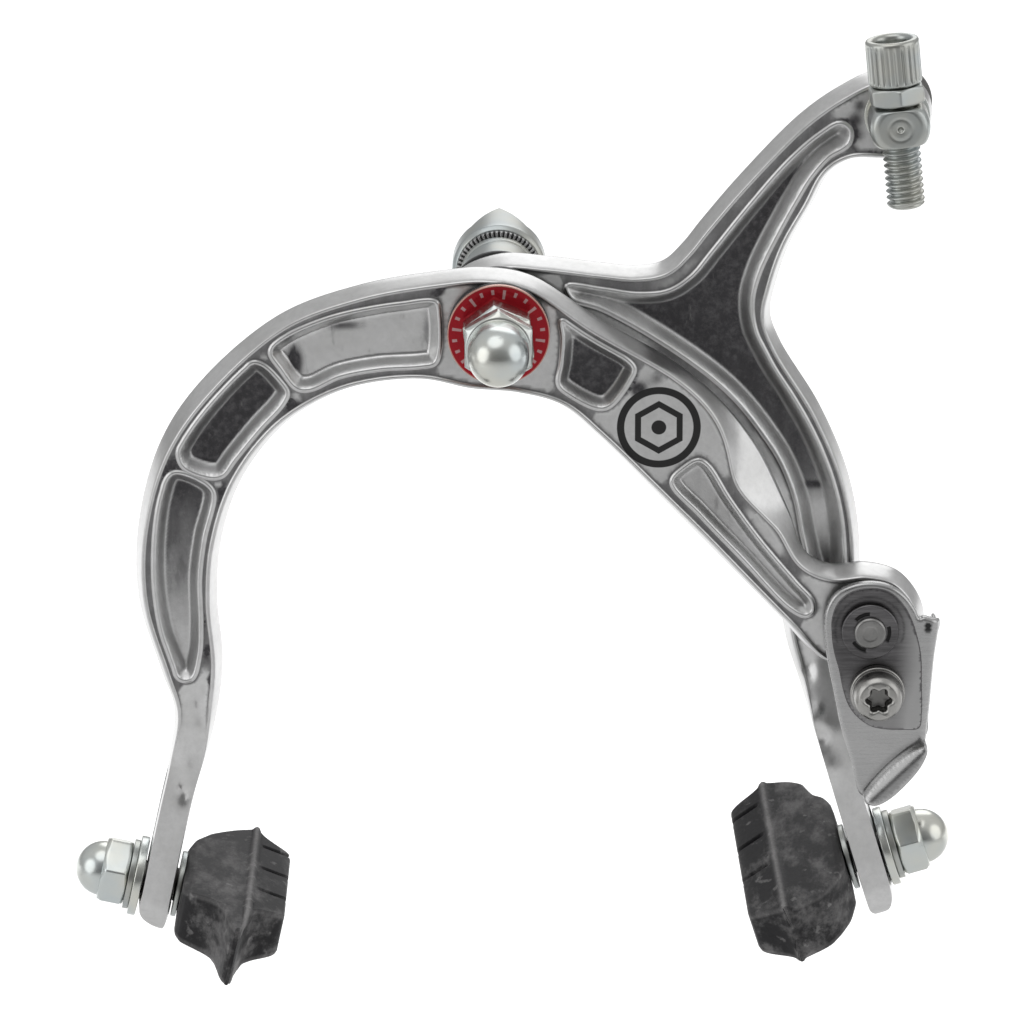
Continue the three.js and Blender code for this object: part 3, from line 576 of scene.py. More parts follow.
frontArmPlan = {
    "body": "front_arm_set", "blade": "left", "bladeHalf": 6.2, "bladeEdge": 0.62,
    "turnsToBlade": (-36, -21), "roundFrom": 1.6, "count": 900,
    "outline": [
        (-2, 9.1), (-9.5, 8.5), (-21.5, 6.3), (-34, 1.5), (-46.3, -9.2), (-52.8, -19.2), (-56.4, -33),
        (-56.4, -44.5), (-53.2, -56), (-51.3, -62.5), (-52.0, -70.5), (-54.2, -80.6), (-56.8, -92.6),
        (-57.6, -96.6), (-57.0, -98.5), (-54.8, -100.6), (-53.7, -100.9), (-53.1, -100.0), (-51.8, -94.2),
        (-49.9, -85.3), (-48.0, -77.2), (-45.2, -67.2), (-43.4, -55.1), (-44.1, -44), (-43.4, -35),
        (-40.2, -25.2), (-34, -16.7), (-28, -12.3), (-21.5, -9.7), (-12, -8.7), (-4.5, -10.2),
        (3, -10.9), (9.5, -12.8), (15, -17.4), (28.3, -31), (44, -47.4), (50.5, -54.2), (57, -56.2),
        (63.5, -54), (66.6, -48.5), (66, -44.4), (62.5, -40), (57.5, -38.6), (52, -38.9), (48, -36.8),
        (45.2, -30), (40.7, -20.3), (34.4, -12.2), (28, -6.5), (15.7, 0.8), (5, 7.8)],
    "fields": [
        {"depth": 1.9, "wall": 1.5, "tone": (0.16, 0.10), "polish": 1.0, "loop": [
            (-9.7, 4.6), (-15.2, 4.3), (-21.3, 3.3), (-26, 2.1), (-30.6, 0.3), (-33.9, -1.4), (-35.2, -3.4),
            (-33.6, -6.2), (-31.2, -9.2), (-29.2, -9.4), (-24.5, -7.3), (-18.3, -6.1), (-12.1, -5.7),
                                                                                  (-9.9, -5.2),
            (-9.2, -3.2), (-9.2, 2.6)]},
        {"depth": 2.1, "wall": 1.9, "tone": (1.0, 0.95), "polish": 0, "loop": [
            (-48.8, -22.0), (-49.7, -19.9), (-49.4, -17), (-47.2, -13.6), (-43.8, -9.4), (-39.9, -5.8),
            (-38.0, -5.0), (-36.3, -5.5), (-33.9, -7.9), (-32.7, -9.9), (-33.4, -11.7), (-37, -15.8),
            (-40.9, -20.7), (-42.9, -23.3), (-44.8, -23.6)]},
        {"depth": 1.9, "wall": 1.6, "tone": (0.78, 0.16), "polish": 0.2, "loop": [
            (-51.9, -24.3), (-50.6, -22.9), (-49, -22.9), (-45.2, -24.8), (-44.3, -26.4), (-45.9, -33.7),
            (-46.7, -40.2), (-46.6, -46.8), (-46.9, -52.6), (-48.2, -56.6), (-50.4, -56.4), (-52.1, -51.5),
            (-53.4, -45), (-53.8, -38), (-53.2, -30)]},
        {"depth": 2.0, "wall": 1.5, "tone": (0.72, 0.86), "polish": 0, "loop": [
            (9.7, 1.6), (12.2, 0.4), (15.6, -1.6), (19.6, -4.4), (20.9, -6.0), (20.2, -8), (17.2, -12),
            (15.4, -12.4), (11.2, -10.4), (9.3, -8.6), (9.7, -5), (9.9, -1)]},
        {"depth": 1.7, "wall": 1.1, "tone": (0.34, 0.26), "polish": 0.5, "loop": [
            (26.9, -24.3), (28.9, -21.9), (31.0, -20.8), (32.4, -21.6), (35.9, -27.2), (40.7, -33.9),
                                                                                  (46.4, -40.8),
            (48.8, -43.6), (49.0, -45.4), (47.9, -46.1), (45.5, -44.9), (37.8, -36.6), (31.3, -29.6)]}],
    # shadeSpots: painted shade spots (x, z, radius, amount) in the recesses at the ends of the sunk fields.
    "shadeSpots": [(-50.6, -22.8, 1.6, 0.9), (-33.2, -4.0, 1.2, 0.7), (-42.2, -26.4, 1.3, 0.8),
               (-32, -11.6, 1.1, 0.7),
               (21.6, -9.4, 1.5, 0.9), (-45.0, -52, 0.9, 0.75), (-44.8, -57, 0.9, 0.75),
               (-45.2, -47, 0.8, 0.7),
               (-9.0, 6.3, 0.9, 0.8), (24.5, -7.6, 1.5, 0.55)],
    "wide": [(41.8, -22.5, 8.5, 4.0), (-47, -10, 14, 0.5)],
    "dents": [(-47.2, -62.5, 1.5, 2.6, 1.0), (-46.4, -58.2, 1.0, 1.8, 0.45), (-49.5, -70.0, 1.6, 3.0, -0.7),
              (-50.0, -76.6, 0.7, 1.5, 0.8)],
    "floorPatches": [(-31.6, -5.6, 1.3, 2.6, 0.85), (-24, 0.4, 3.2, 0.8, 0.5), (-11, 0, 0.8, 3, 0.35)],
}

rearArmPlan = {
    "body": "rear_arm_set", "blade": "right", "bladeHalf": 6.2, "bladeEdge": 0.6,
    "turnsToBlade": (-36, -22), "roundFrom": 4.1, "count": 1000,
    "outline": [
        (0, 8.7), (7.5, 8.4), (15.8, 7.4), (21.6, 6.9), (25.6, 7.7), (28.6, 10.5), (31.3, 14), (37.4, 21.4),
        (46.6, 31.1), (52.8, 35.6), (58, 38.0), (63.2, 37.5), (66.3, 34.6), (67, 30.6), (64.8, 26.0),
                (60.6, 24.2),
        (54.6, 24.0), (51.4, 22), (48.7, 16.9), (45.3, 10.6), (43.2, 4.2), (42.4, -0.6), (44, -5.2),
                (50.4, -15.8),
        (54.9, -26.6), (56.8, -36.6), (56.8, -48), (55.2, -58), (54.3, -64.6), (56.2, -71.8), (58.9, -81),
        (62.4, -92.6), (63.0, -96.0), (62.4, -98.6), (60.6, -99.6), (59.2, -98.6), (58.0, -95.2),
                (55.6, -87.2),
        (51.7, -74.2), (48.0, -62), (45.6, -54.6), (44.4, -48), (42.6, -35), (38.6, -22.8), (32.5, -14.7),
        (20, -6.2), (10, -5.6), (4, -8.2), (-4, -7.9), (-8.6, -1.5), (-6.6, 5.6)],
    "fields": [
        {"depth": 2.3, "wall": 2.0, "tone": (1.0, 0.5), "polish": 0.1, "loop": [
            (10.6, 4.6), (15.8, 4.1), (21.6, 3.3), (26.4, 3.8), (29.9, 6.1), (33.1, 10.1), (38.9, 17.6),
                                                                                (45, 24.8),
            (49.6, 28.9), (52.6, 30.6), (54.2, 29.6), (54.1, 27.4), (51.0, 25.0), (47.2, 20.1), (43.4, 13.2),
            (40.4, 6.6), (39.4, 2.2), (39.9, -2.2), (42.1, -6.2), (46.8, -13.8), (51.4, -21.9), (53.7, -29.3),
            (54.3, -37), (54.0, -43), (52, -45), (49.8, -43), (47.9, -36.6), (46.6, -30.1), (44.2, -23.9),
            (41.1, -19), (37.9, -14.8), (34.6, -11.4), (29.9, -7.6), (22.1, -2.4), (15.8, 1.0),
                                                                                (11.4, 2.6)]}],
    # shadeSpots: painted shadow round the boss at the tip.
    "shadeSpots": [(60, 30, 6.5, 0.25), (54.9, 31.0, 1.3, 0.6), (55.3, 28.6, 1.1, 0.5), (55.6, 33.4, 1.1, 0.5)],
               "wide": [(0, 40, 1, 0)],
    "dents": [(48.6, -58, 1.3, 2.6, 0.9), (50.2, -64.5, 1.0, 1.8, -0.6), (51.0, -68.6, 1.1, 1.6, 0.9),
              (52.6, -73.5, 1.2, 2.0, -0.5)],
    "floorPatches": [(51.8, -28.2, 4, 0.6, 0.4), (50.3, -34, 3.5, 4.5, -0.55)],
}


def spots(points, entries):   # a sum of soft spots (x, z, radius, amount)
    total = np.zeros(len(points))
    for x, z, radius, amount in entries:
        total += amount * np.exp(-((points[:, 0] - x) ** 2 + (points[:, 1] - z) ** 2) / radius ** 2)
    return total


def ovals(points, entries):   # a sum of soft ovals (x, z, half width, half height, amount)
    total = np.zeros(len(points))
    for x, z, width, tall, amount in entries:
        total += amount * np.exp(-((points[:, 0] - x) / width) ** 2 - ((points[:, 1] - z) / tall) ** 2)
    return total


def segmentDistance(points, loop):
    best = np.full(len(points), 1e9)
    ends = np.roll(loop, -1, 0)
    for start in range(0, len(loop), 120):
        a, b = loop[start:start + 120], ends[start:start + 120]
        along = b - a
        rel = points[:, None] - a[None]
        t = np.clip(np.sum(rel * along, 2) / np.maximum(np.sum(along * along, 1), 1e-12), 0, 1)
        best = np.minimum(best, np.min(np.linalg.norm(rel - t[..., None] * along, axis=2), 1))
    return best


# An arm: the edge profile carried round the outline on both sides, the web filled between the outline
# and the beads, and each sunk field filled with its depth set by the distance from its crest line.
def armPiece(name, plan):
    stud, up = pivotOf(plan["blade"] + "_pad_pitch"), axisOf(plan["blade"] + "_pad_height")
    parting = (plan["faces"][0] + plan["faces"][1]) / 2

    def bladeShare(points):
        return smoothStep(*plan["turnsToBlade"], (stud[[0, 2]] - points) @ up[[0, 2]])

    def heightAt(points, share, side):
        below = (stud[[0, 2]] - points) @ up[[0, 2]]
        blade = bladeShare(points)
        middle = parting + (stud[1] - parting) * blade
        bladeFace = stud[1] + (plan["bladeHalf"] if side else -plan["bladeHalf"])
        face = plan["faces"][side] * (1 - blade) + bladeFace * blade
        share = share + (1 - share) * blade * (share > 0.9)
        y = middle + (face - middle) * share
        if side == 0:
            y = y + ovals(points, plan["dents"]) * smoothStep(0.3, 0.9, share)
        past = np.clip((below - plan["roundFrom"]) / plan["bladeHalf"], 0, 1)
        return stud[1] + (y - stud[1]) * np.sqrt(1 - past * past)

    base = curveThrough(plan["outline"], plan["count"], focus=4)
    inward = inwardOf(base)
    scale = (1 + (plan["bladeEdge"] / 1.8 - 1) * bladeShare(base))[:, None]
    wide = spots(base, plan["wide"])[:, None]   # where the sloping side is broader
    surfaces, rims = [], []
    for side in (0, 1):
        rows = []
        for inset, share in armEdge:
            flat = base + inward * (inset * scale + wide * min(share / 0.93, 1) ** 0.8 * (inset > 0))
            rows.append(np.stack([flat[:, 0], heightAt(flat, np.full(len(flat), share), side), flat[:, 1]],
                                 1))
        rows = np.array(rows)
        # The last two edge rows get tone 0.55 on the front: a painted shade line in the groove where the rounding meets
        # the web.
        dark = np.zeros((len(rows), len(base)))
        if side == 0:
            dark[-2:] = 0.55
            dark *= 1 - bladeShare(base)
        surfaces.append((rows.reshape(-1, 3), gridFaces(len(rows), len(base)), {"tone": dark.ravel()}))
        rims.append(rows[-1])

    holes, holeEdges = [], []
    for field in plan["fields"]:
        crest = curveThrough(field["loop"], 260, focus=1.0)
        for _ in range(4):   # keeps every crest clear of the outline's rounding
            gap = segmentDistance(crest, base)
            nearest = np.argmin(np.linalg.norm(crest[:, None] - base[None], axis=2), 1)
            push = np.maximum(2.55 + wide[nearest, 0] * 0.8 - gap, 0)
            push = np.convolve(np.concatenate([push[-4:], push, push[:4]]), np.ones(9) / 9, "valid")
            crest = crest + inwardOf(crest) * push[:, None]
        normal = inwardOf(crest)
        rows, tones = [], []
        for inset, rise in beadRise:
            flat = crest + normal * inset
            rows.append(np.stack([flat[:, 0], heightAt(flat, np.full(len(flat), webShare), 0) - rise,
                                  flat[:, 1]], 1))
            # The outer foot of the bead gets tone 0.55: painted shade in the groove between bead and web.
            tones.append(np.full(len(flat), 0.55 if inset < -0.4 else 0.0))
        rows = np.array(rows)
        surfaces.append((rows.reshape(-1, 3), gridFaces(len(rows), len(crest)),
                         {"tone": np.array(tones).ravel()}))
        holes.append(rows[0][:, [0, 2]])
        holeEdges.append(rows[0])
        flat, faces = fillRegion(rows[-1][:, [0, 2]], (), 0.33)
        away = segmentDistance(flat, crest)
        down = smoothStep(0.0, field["wall"], away - beadRise[-1][0])
        slope = np.clip((away - beadRise[-1][0]) / field["wall"], 0, 1)
        drop = (0.45 * down + 0.55 * np.sin(slope * math.pi / 2)) * field["depth"]
        y = heightAt(flat, np.full(len(flat), webShare), 0) - beadRise[-1][1] + drop
        y[:len(crest)] = rows[-1][:, 1]
        zShare = np.clip((flat[:, 1] - crest[:, 1].min()) / np.ptp(crest[:, 1]), 0, 1)
        tone = field["tone"][0] * zShare + field["tone"][1] * (1 - zShare)
        # floorPatches darken the field floors in soft ovals, and lighten them where the amount is below zero.
        tone = tone + ovals(flat, plan["floorPatches"])
        onFloor = smoothStep(0.72, 1.0, slope)
        tone = np.clip(tone * (0.30 + 0.70 * onFloor), 0, 1)
        points = np.stack([flat[:, 0], y, flat[:, 1]], 1)
        surfaces.append((points, faces, {"tone": tone, "polish": onFloor * field["polish"]}))

    flat, faces = fillRegion(rims[0][:, [0, 2]], holes, 0.62)
    y = heightAt(flat, np.full(len(flat), webShare), 0)
    known = np.concatenate([rims[0][:, 1], *[edge[:, 1] for edge in holeEdges]])
    y[:len(known)] = known
    toRim = segmentDistance(flat, rims[0][:, [0, 2]])
    toHole = np.min([segmentDistance(flat, loop) for loop in holes], axis=0)
    # Painted shade in the grooves along the rounding and the beads, darkest where the two come close.
    grooveShade = np.maximum(1 - smoothStep(0.0, 0.5, np.minimum(toRim, toHole)),
                        1 - smoothStep(1.3, 1.9, toRim + toHole))
    tone = 0.55 * grooveShade * (1 - bladeShare(flat))
    # shadeSpots add painted shade in recesses: at the ends of the sunk fields, and round the boss at the tip of the
    # rear arm.
    tone = np.clip(tone + spots(flat, plan["shadeSpots"]), 0, 1)
    surfaces.append((np.stack([flat[:, 0], y, flat[:, 1]], 1), faces, {"tone": tone}))
    flat, faces = fillRegion(rims[1][:, [0, 2]], (), 1.4)
    y = heightAt(flat, np.full(len(flat), webShare), 1)
    y[:len(base)] = rims[1][:, 1]
    surfaces.append((np.stack([flat[:, 0], y, flat[:, 1]], 1), faces, {"tone": 0.12}))
    return meshPiece(name, surfaces)


# A round cutter along an axis, stretched along the second direction by the given travel.
def cutter(radius, origin, right, forward, axis, low, high, travel=0.0):
    points, faces = turned([(0, low), (radius, low), (radius, high), (0, high)], 48)
    points[:, 1] += np.where(points[:, 1] > 1e-6, travel, 0)
    piece = meshPiece("cutter", [(placed(points, origin, right, forward, axis), faces)])
    piece.hide_render = True
    return piece


# The slot of a blade, measured along it from the stud's place at rest; the right pad may also be set lower.
slotPlan = {"radius": 3.15, "half": 8, "below": {"left": 0.4, "right": 2.9}, "above": 17.4}


def boreCutters(side, bore, extra):
    stud, axis, up = pivotOf(side + "_pad_pitch"), axisOf(side + "_pad_pitch"), axisOf(side + "_pad_height")
    forward = np.array([0, 1, 0])
    low, half = slotPlan["below"][side], slotPlan["half"]
    found = [cutter(slotPlan["radius"], stud - up * low, forward, up, axis, -half, half, slotPlan["above"] + low)]
    for x, z, radius in [(0, 0, bore), extra]:
        found.append(cutter(radius, (x, 0, z), (1, 0, 0), (0, 0, -1), (0, 1, 0), -60, 0))
    return found


frontArmPlan["faces"] = (boxOf("front_thrust_washer")[1][1] + 0.1, boxOf("middle_washer")[0][1] - 0.1)
rearArmPlan["faces"] = (boxOf("middle_washer")[1][1] + 0.1, boxOf("rear_thrust_washer")[0][1] - 0.1)
pin = pivotOf("cable_lever_turn")
tip = pivotOf("cable_stop_swivel")

frontArm = armPiece("front_arm_forged", frontArmPlan)
cutAway(frontArm, boreCutters("left", 3.2, (pin[0], pin[2], 2.65)))
finishPiece(frontArm, frontForged, "front_arm_set", "forged_aluminium", "front_arm")
rearArm = armPiece("rear_arm_forged", rearArmPlan)
cutAway(rearArm, boreCutters("right", 3.2, (tip[0], tip[2], 4.15)))
finishPiece(rearArm, rearForged, "rear_arm_set", "forged_aluminium", "rear_arm")
print("stage: arms", len(frontArm.data.polygons), len(rearArm.data.polygons))


alongBolt = dict(right=(1, 0, 0), forward=(0, 0, 1), axis=(0, 1, 0))


# One or more turned surfaces as a piece. where gives the origin and the three directions of the turning frame.
def turnedPiece(name, profile, where, origin=(0, 0, 0), rounding=0.25, sharp=None, tone=None, **shape):
    fine = profileLine(profile, rounding)
    points, faces = turned(fine, **shape)
    values = {}
    if tone:
        r = np.hypot(points[:, 0], points[:, 1])
        values["tone"] = tone(np.arctan2(points[:, 1], points[:, 0]), r, points[:, 2])
    spot = placed(points, origin, where["right"], where["forward"], where["axis"])
    return meshPiece(name, [(spot, faces, values)], sharp)


# A ring of rectangular section with rounded edges: inner and outer radius, front and rear face.
def ringProfile(inner, outer, front, rear):
    middle = (front + rear) / 2
    return [(inner, middle), (inner, front), (outer, front), (outer, rear), (inner, rear), (inner, middle)]


def washerPiece(name, node, material, body, slot, inner, rounding=0.2, **shape):
    low, high = boxOf(node)
    outer = (high[0] - low[0]) / 2
    piece = turnedPiece(name, ringProfile(inner, outer, low[1], high[1]), alongBolt, rounding=rounding,
                        sides=96, **shape)
    return finishPiece(piece, material, body, slot, node)


# A hexagon with turned corners, from its front face to its rear face, round a bore.
def hexProfile(across, bore, front, rear, chamfer=0.42):
    corner = across / math.sqrt(3) + 0.1
    flat = across / 2 - 0.15
    return [(bore, (front + rear) / 2), (bore, front), (flat, front), (corner, front + chamfer * (1.6)),
            (corner, rear - chamfer * 1.6), (flat, rear), (bore, rear), (bore, (front + rear) / 2)]


# A closed-end nut: dome, short straight neck, then the hexagon; tip, neck end and rear are along the axis.
def acornProfile(across, tipAt, hexFront, rear, domeR):
    s = 1 if rear > tipAt else -1
    arc = [(domeR * math.sin(t),
            tipAt + s * (domeR - domeR * math.cos(t))) for t in np.linspace(0, math.pi / 2, 14)]
    corner = across / math.sqrt(3) + 0.1
    return arc + [(domeR, hexFront), (across / 2 - 0.2, hexFront + s * 0.06), (corner, hexFront + s * 0.8),
                  (corner, rear - s * 0.65), (across / 2 - 0.1, rear), (3.2, rear), (3.2, rear - s * 4),
                  (0, rear - s * 4)]


centreStackPlan = {"hexAcross": 10.4, "domeRadius": 4.7, "teeth": 56, "toothDepth": 0.55,
                   "saddleRise": 0.6, "saddlePeak": 6.2, "saddleReach": 0.62}


def makeCentreStack(plan):
    low, high = boxOf("dome_nut")
    hexFront = boxOf("dome_nut")[1][1] - 3.3
    profile = acornProfile(plan["hexAcross"], low[1], hexFront, high[1], plan["domeRadius"])
    dome = turnedPiece("dome_nut_bright", profile, alongBolt, sides=144, flats=6, across=plan["hexAcross"])
    finishPiece(dome, zinc, "bolt_set", "zinc", "dome_nut")
    low, high = boxOf("pivot_lock_nut")
    profile = hexProfile(plan["hexAcross"], 3.15, low[1], high[1])
    nut = turnedPiece("lock_nut_bright", profile, alongBolt, sides=144, flats=6, across=plan["hexAcross"],
                      phase=0.12)
    finishPiece(nut, zinc, "bolt_set", "zinc", "pivot_lock_nut")
    washerPiece("red_washer_gloss", "red_washer", redGloss, "bolt_set", "red_finish", 3.2)
    for node in ("front_thrust_washer", "middle_washer", "rear_thrust_washer"):
        washerPiece(node + "_moulded", node, nylon, "bolt_set", "nylon", 3.2, 0.15)

    low, high = boxOf("spring_block")
    block = [(3.2, -14), (3.2, low[1]), (5.9, low[1]), (6.2, low[1] + 0.5), (6.2, -9.2), (5.95, -8.9),
             (5.95, -8.3),
             (6.2, -8.0), (6.2, high[1] - 0.6), (5.5, high[1]), (3.2, high[1]), (3.2, -14)]
    piece = turnedPiece("spring_block_turned", block, alongBolt, sides=96, rounding=0.15)
    saddle = cutter(1.0, (0, -17, 0), (0, 1, 0), (0, 0, 1), (1, 0, 0), -20, 20)
    saddle.data.transform(saddle.matrix_world)
    co = np.zeros(len(saddle.data.vertices) * 3)
    saddle.data.vertices.foreach_get("co", co)
    co = co.reshape(-1, 3)
    co[:, 1] = (co[:, 1] / millimetre + 17) * 1.25 * millimetre - 17 * millimetre
    co[:, 2] = co[:, 2] * 2 - 5.2 * millimetre
    saddle.data.vertices.foreach_set("co", co.ravel())
    cutAway(piece, [saddle])
    finishPiece(piece, zincGrey, "bolt_set", "zinc", "spring_block")

    low, high = boxOf("toothed_washer")
    toothed = [(5.2, high[1] - 0.2), (5.2, low[1] + 0.1), (5.6, low[1]), (6.2, low[1]), (6.75, low[1] + 0.2),
               (6.8, low[1] + 0.5),
               (6.8, high[1]), (5.2, high[1]), (5.2, high[1] - 0.2)]
    gap = lambda a, r, z: smoothStep(-0.2, 0.6, np.cos(a * plan["teeth"])) * (r > 5.4) * (z < high[1] - 0.3)
    # tone paints shade in the gaps between the teeth.
    piece = turnedPiece("toothed_washer_cut", toothed, alongBolt, sides=672, rounding=0.12,
                        lift=lambda a, r, z: z + plan["toothDepth"] * gap(a, r, z), tone=lambda a, r,
                        z: 0.8 * gap(a, r, -9))
    finishPiece(piece, wireSteel, "bolt_set", "zinc", "toothed_washer")

    low, high = boxOf("radius_washer")
    cup = [(3.2, low[1] + 1), (3.2, low[1]), (6.9, low[1]), (7.5, low[1] + 0.7), (7.5, 0.2), (7.5, 0.4),
           (6.6, 0.4), (6.45, 0.2),
           (6.4, -1.2), (3.2, -1.2), (3.2, low[1] + 1)]

    def saddleRim(a, r, z):   # the rear rim rises to a point at the top and bottom
        away = np.abs(a % math.pi - math.pi / 2)
        rise = plan["saddleRise"] + plan["saddlePeak"] * np.maximum(0, 1 - away / plan["saddleReach"])
        return z + rise * smoothStep(-0.6, 0.15, z)

    piece = turnedPiece("radius_washer_saddle", cup, alongBolt, sides=180, lift=saddleRim, rounding=0.2)
    finishPiece(piece, zincGrey, "bolt_set", "zinc", "radius_washer")
    washerPiece("flat_washer_bright", "flat_washer", zinc, "bolt_set", "zinc", 3.2)
    low, high = boxOf("mounting_nut")
    profile = hexProfile(plan["hexAcross"], 3.15, low[1], high[1])
    nut = turnedPiece("mounting_nut_bright", profile, alongBolt, sides=144, flats=6, across=plan["hexAcross"],
                      phase=0.3)
    finishPiece(nut, zinc, "bolt_set", "zinc", "mounting_nut")

    low, high = boxOf("centre_bolt")
    rows = [(0, low[1]), (2.4, low[1]), (2.98, low[1] + 0.6), (2.98, -1)]
    rows += [(2.98, z) for z in np.arange(-0.9, high[1] - 0.7, 0.1)]
    rows += [(2.4, high[1] - 0.05), (0, high[1])]
    thread = lambda a, r, z: r - 0.26 * (1 - np.cos(2 * math.pi * z - a)) * (z > -0.9) * (z < high[1] - 0.6) * (r > 2)
    points, faces = turned(rows, 48, reach=thread)
    bolt = meshPiece("centre_bolt_threaded", [(placed(points, (0, 0, 0), *alongBolt.values()), faces)])
    finishPiece(bolt, darkSteel, "bolt_set", "dark_steel", "centre_bolt")


makeCentreStack(centreStackPlan)
print("stage: centre stack")


springPlan = {
    "radius": 1.1, "y": -17.0,
    "left": [(0.6, -4.5), (-4, -4.5), (-9, -4.6), (-21, -6.6), (-34, -12.5), (-43, -22), (-46.3, -35),
             (-46.7, -41.5)],
    "right": [(-0.6, -4.5), (4, -4.5), (9, -4.6), (21, -6.8), (33, -13.4), (41.8, -22.5), (46.6, -32),
              (46.9, -38.5)],
    "lugs": {"front_arm_set": (-50.2, -38.0, -32.4), "rear_arm_set": (50.4, -35.0, -22.8)},
}


# A round wire: circles of the given radius square to the path, which lies in the plane y = level.
def wirePiece(name, path, radius, level):
    line = curveThrough(path, 120, closed=False)
    way = np.gradient(line, axis=0)
    way /= np.linalg.norm(way, axis=1, keepdims=True)
    side = np.stack([-way[:, 1], way[:, 0]], 1)
    shrink = np.ones(len(line))
    ends = [0.0, 0.55, 0.86, 1.0]
    line = np.vstack([line[:1] + way[:1] * 0.0] * 3 + [line] + [line[-1:]] * 3)
    side = np.vstack([side[:1]] * 3 + [side] + [side[-1:]] * 3)
    shrink = np.concatenate([ends[:3], shrink, ends[2::-1]])
    shift = np.concatenate([[-0.5, -0.36, -0.16], np.zeros(len(way)), [0.16, 0.36, 0.5]])
    way = np.vstack([way[:1]] * 3 + [way] + [way[-1:]] * 3)
    angle = np.arange(18) / 18 * 2 * math.pi
    r = (radius * shrink)[:, None]
    flat = (line + way * shift[:, None] * radius)[:, None] + side[:, None] * (r * np.cos(angle))[..., None]
    y = level + r * np.sin(angle)
    points = np.stack([flat[..., 0], y, flat[..., 1]], -1).reshape(-1, 3)
    return meshPiece(name, [(points, gridFaces(len(line), 18))])


def makeSpring(plan):
    for side, arm in (("left", "front_arm_set"), ("right", "rear_arm_set")):
        leg = wirePiece("return_spring_" + side, plan[side], plan["radius"], plan["y"])
        leg.data.materials.append(wireSteel)
        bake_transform(leg)
        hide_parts("return_spring")
    for arm, (x, z, front) in plan["lugs"].items():
        profile = [(0, front), (2.2, front), (2.2, -15.0), (1.7, -14.4), (0, -14.4)]
        lug = turnedPiece("spring_lug_" + arm, profile, alongBolt, (x, 0, z), sides=48)
        lug.data.materials.append(rearForged)
        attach(lug, arm)


makeSpring(springPlan)
print("stage: spring")


leverPlan = {
    "sheet": [(50.7, -47.0), (51.0, -44.2), (52.4, -41.7), (55.1, -40.2), (58.3, -39.8), (61.0, -40.4),
              (63.3, -42.0),
              (65.0, -44.4), (65.6, -45.6), (66.2, -45.4), (67.4, -45.7), (68.7, -46.2), (68.9, -46.8),
              (68.6, -48.4), (68.1, -51.7), (67.8, -55.5), (67.5, -60.3), (67.2, -63.7),
              (67.0, -65.8), (65.9, -68.6), (63.2, -71.8), (60.3, -74.4), (58.6, -75.2), (57.2, -75.0),
              (56.5, -74.3),
              (55.2, -69.1), (53.8, -64.5), (52.5, -58.4), (51.2, -51.9)],
    "face": [(51.9, -48.3), (51.9, -45.5), (52.9, -42.8), (55.1, -41.1), (58.2, -40.6), (61.0, -41.3),
             (62.9, -43.1),
             (64.3, -45.6), (65.2, -48.3), (65.9, -51.6), (66.1, -56.4), (66.2, -61.1), (65.8, -63.6),
             (63.2, -63.9),
             (60.4, -63.8), (58.2, -63.3), (56.1, -61.8), (54.7, -59.9), (53.8, -57.3), (53.1, -54.0),
             (52.3, -51.1)],
    "flange": [(66.0, -65.6), (67.0, -65.4), (67.4, -60), (67.9, -52), (68.6, -47.4), (68.0, -46.7),
               (67.2, -48.4),
               (66.7, -52), (66.2, -60)],
    "tab": [(57.1, -74.6), (57.6, -75.5), (59.0, -75.9), (61.0, -75.0), (64.0, -72.2), (66.3, -69.1),
            (67.1, -66.8),
            (66.7, -65.7), (65.2, -66.2), (62.4, -68.2), (59.5, -71.1), (57.7, -73.4)],
    "clampShift": (-0.2, 0, 1.1), "bend": 1.5, "bendLine": (67.1, -65.8, 0.088),
}


# A plate drawn in (x, z): its edge profile is carried round the outline, and both faces are filled;
# sag, a function of (x, z), carries the whole thickness back.
def platePiece(name, outline, front, rear, edge=0.35, count=240, spacing=0.8, sag=None, tone=None, pale=None):
    loop = curveThrough(outline, count, focus=1.5)
    inward = inwardOf(loop)
    turns = np.linspace(0, math.pi / 2, 6)
    backRows = [(min(edge, 0.3) * (1 - math.cos(t)),
                 rear - min(edge, 0.3) * (1 - math.sin(t))) for t in turns[::-1]]
    rows = backRows + [(0.0, (front + rear) / 2)]
    rows += [(edge * (1 - math.cos(t)), front + edge * (1 - math.sin(t))) for t in turns]
    sag = sag or (lambda flat: np.zeros(len(flat)))

    def lifted(flat, y):
        return np.stack([flat[:, 0], y + sag(flat), flat[:, 1]], 1)

    grid = np.array([lifted(loop + inward * inset, y) for inset, y in rows])
    surfaces = [(grid.reshape(-1, 3), gridFaces(len(rows), len(loop)))]
    for row, level, facing in ((grid[0], rear, False), (grid[-1], front, True)):
        flat, faces = fillRegion(row[:, [0, 2]], (), spacing)
        values = {}
        if facing and tone is not None:
            values["tone"] = tone(flat)
        if facing and pale is not None:
            values["pale"] = pale(flat)
        surfaces.append((lifted(flat, level), faces, values))
    return meshPiece(name, surfaces)


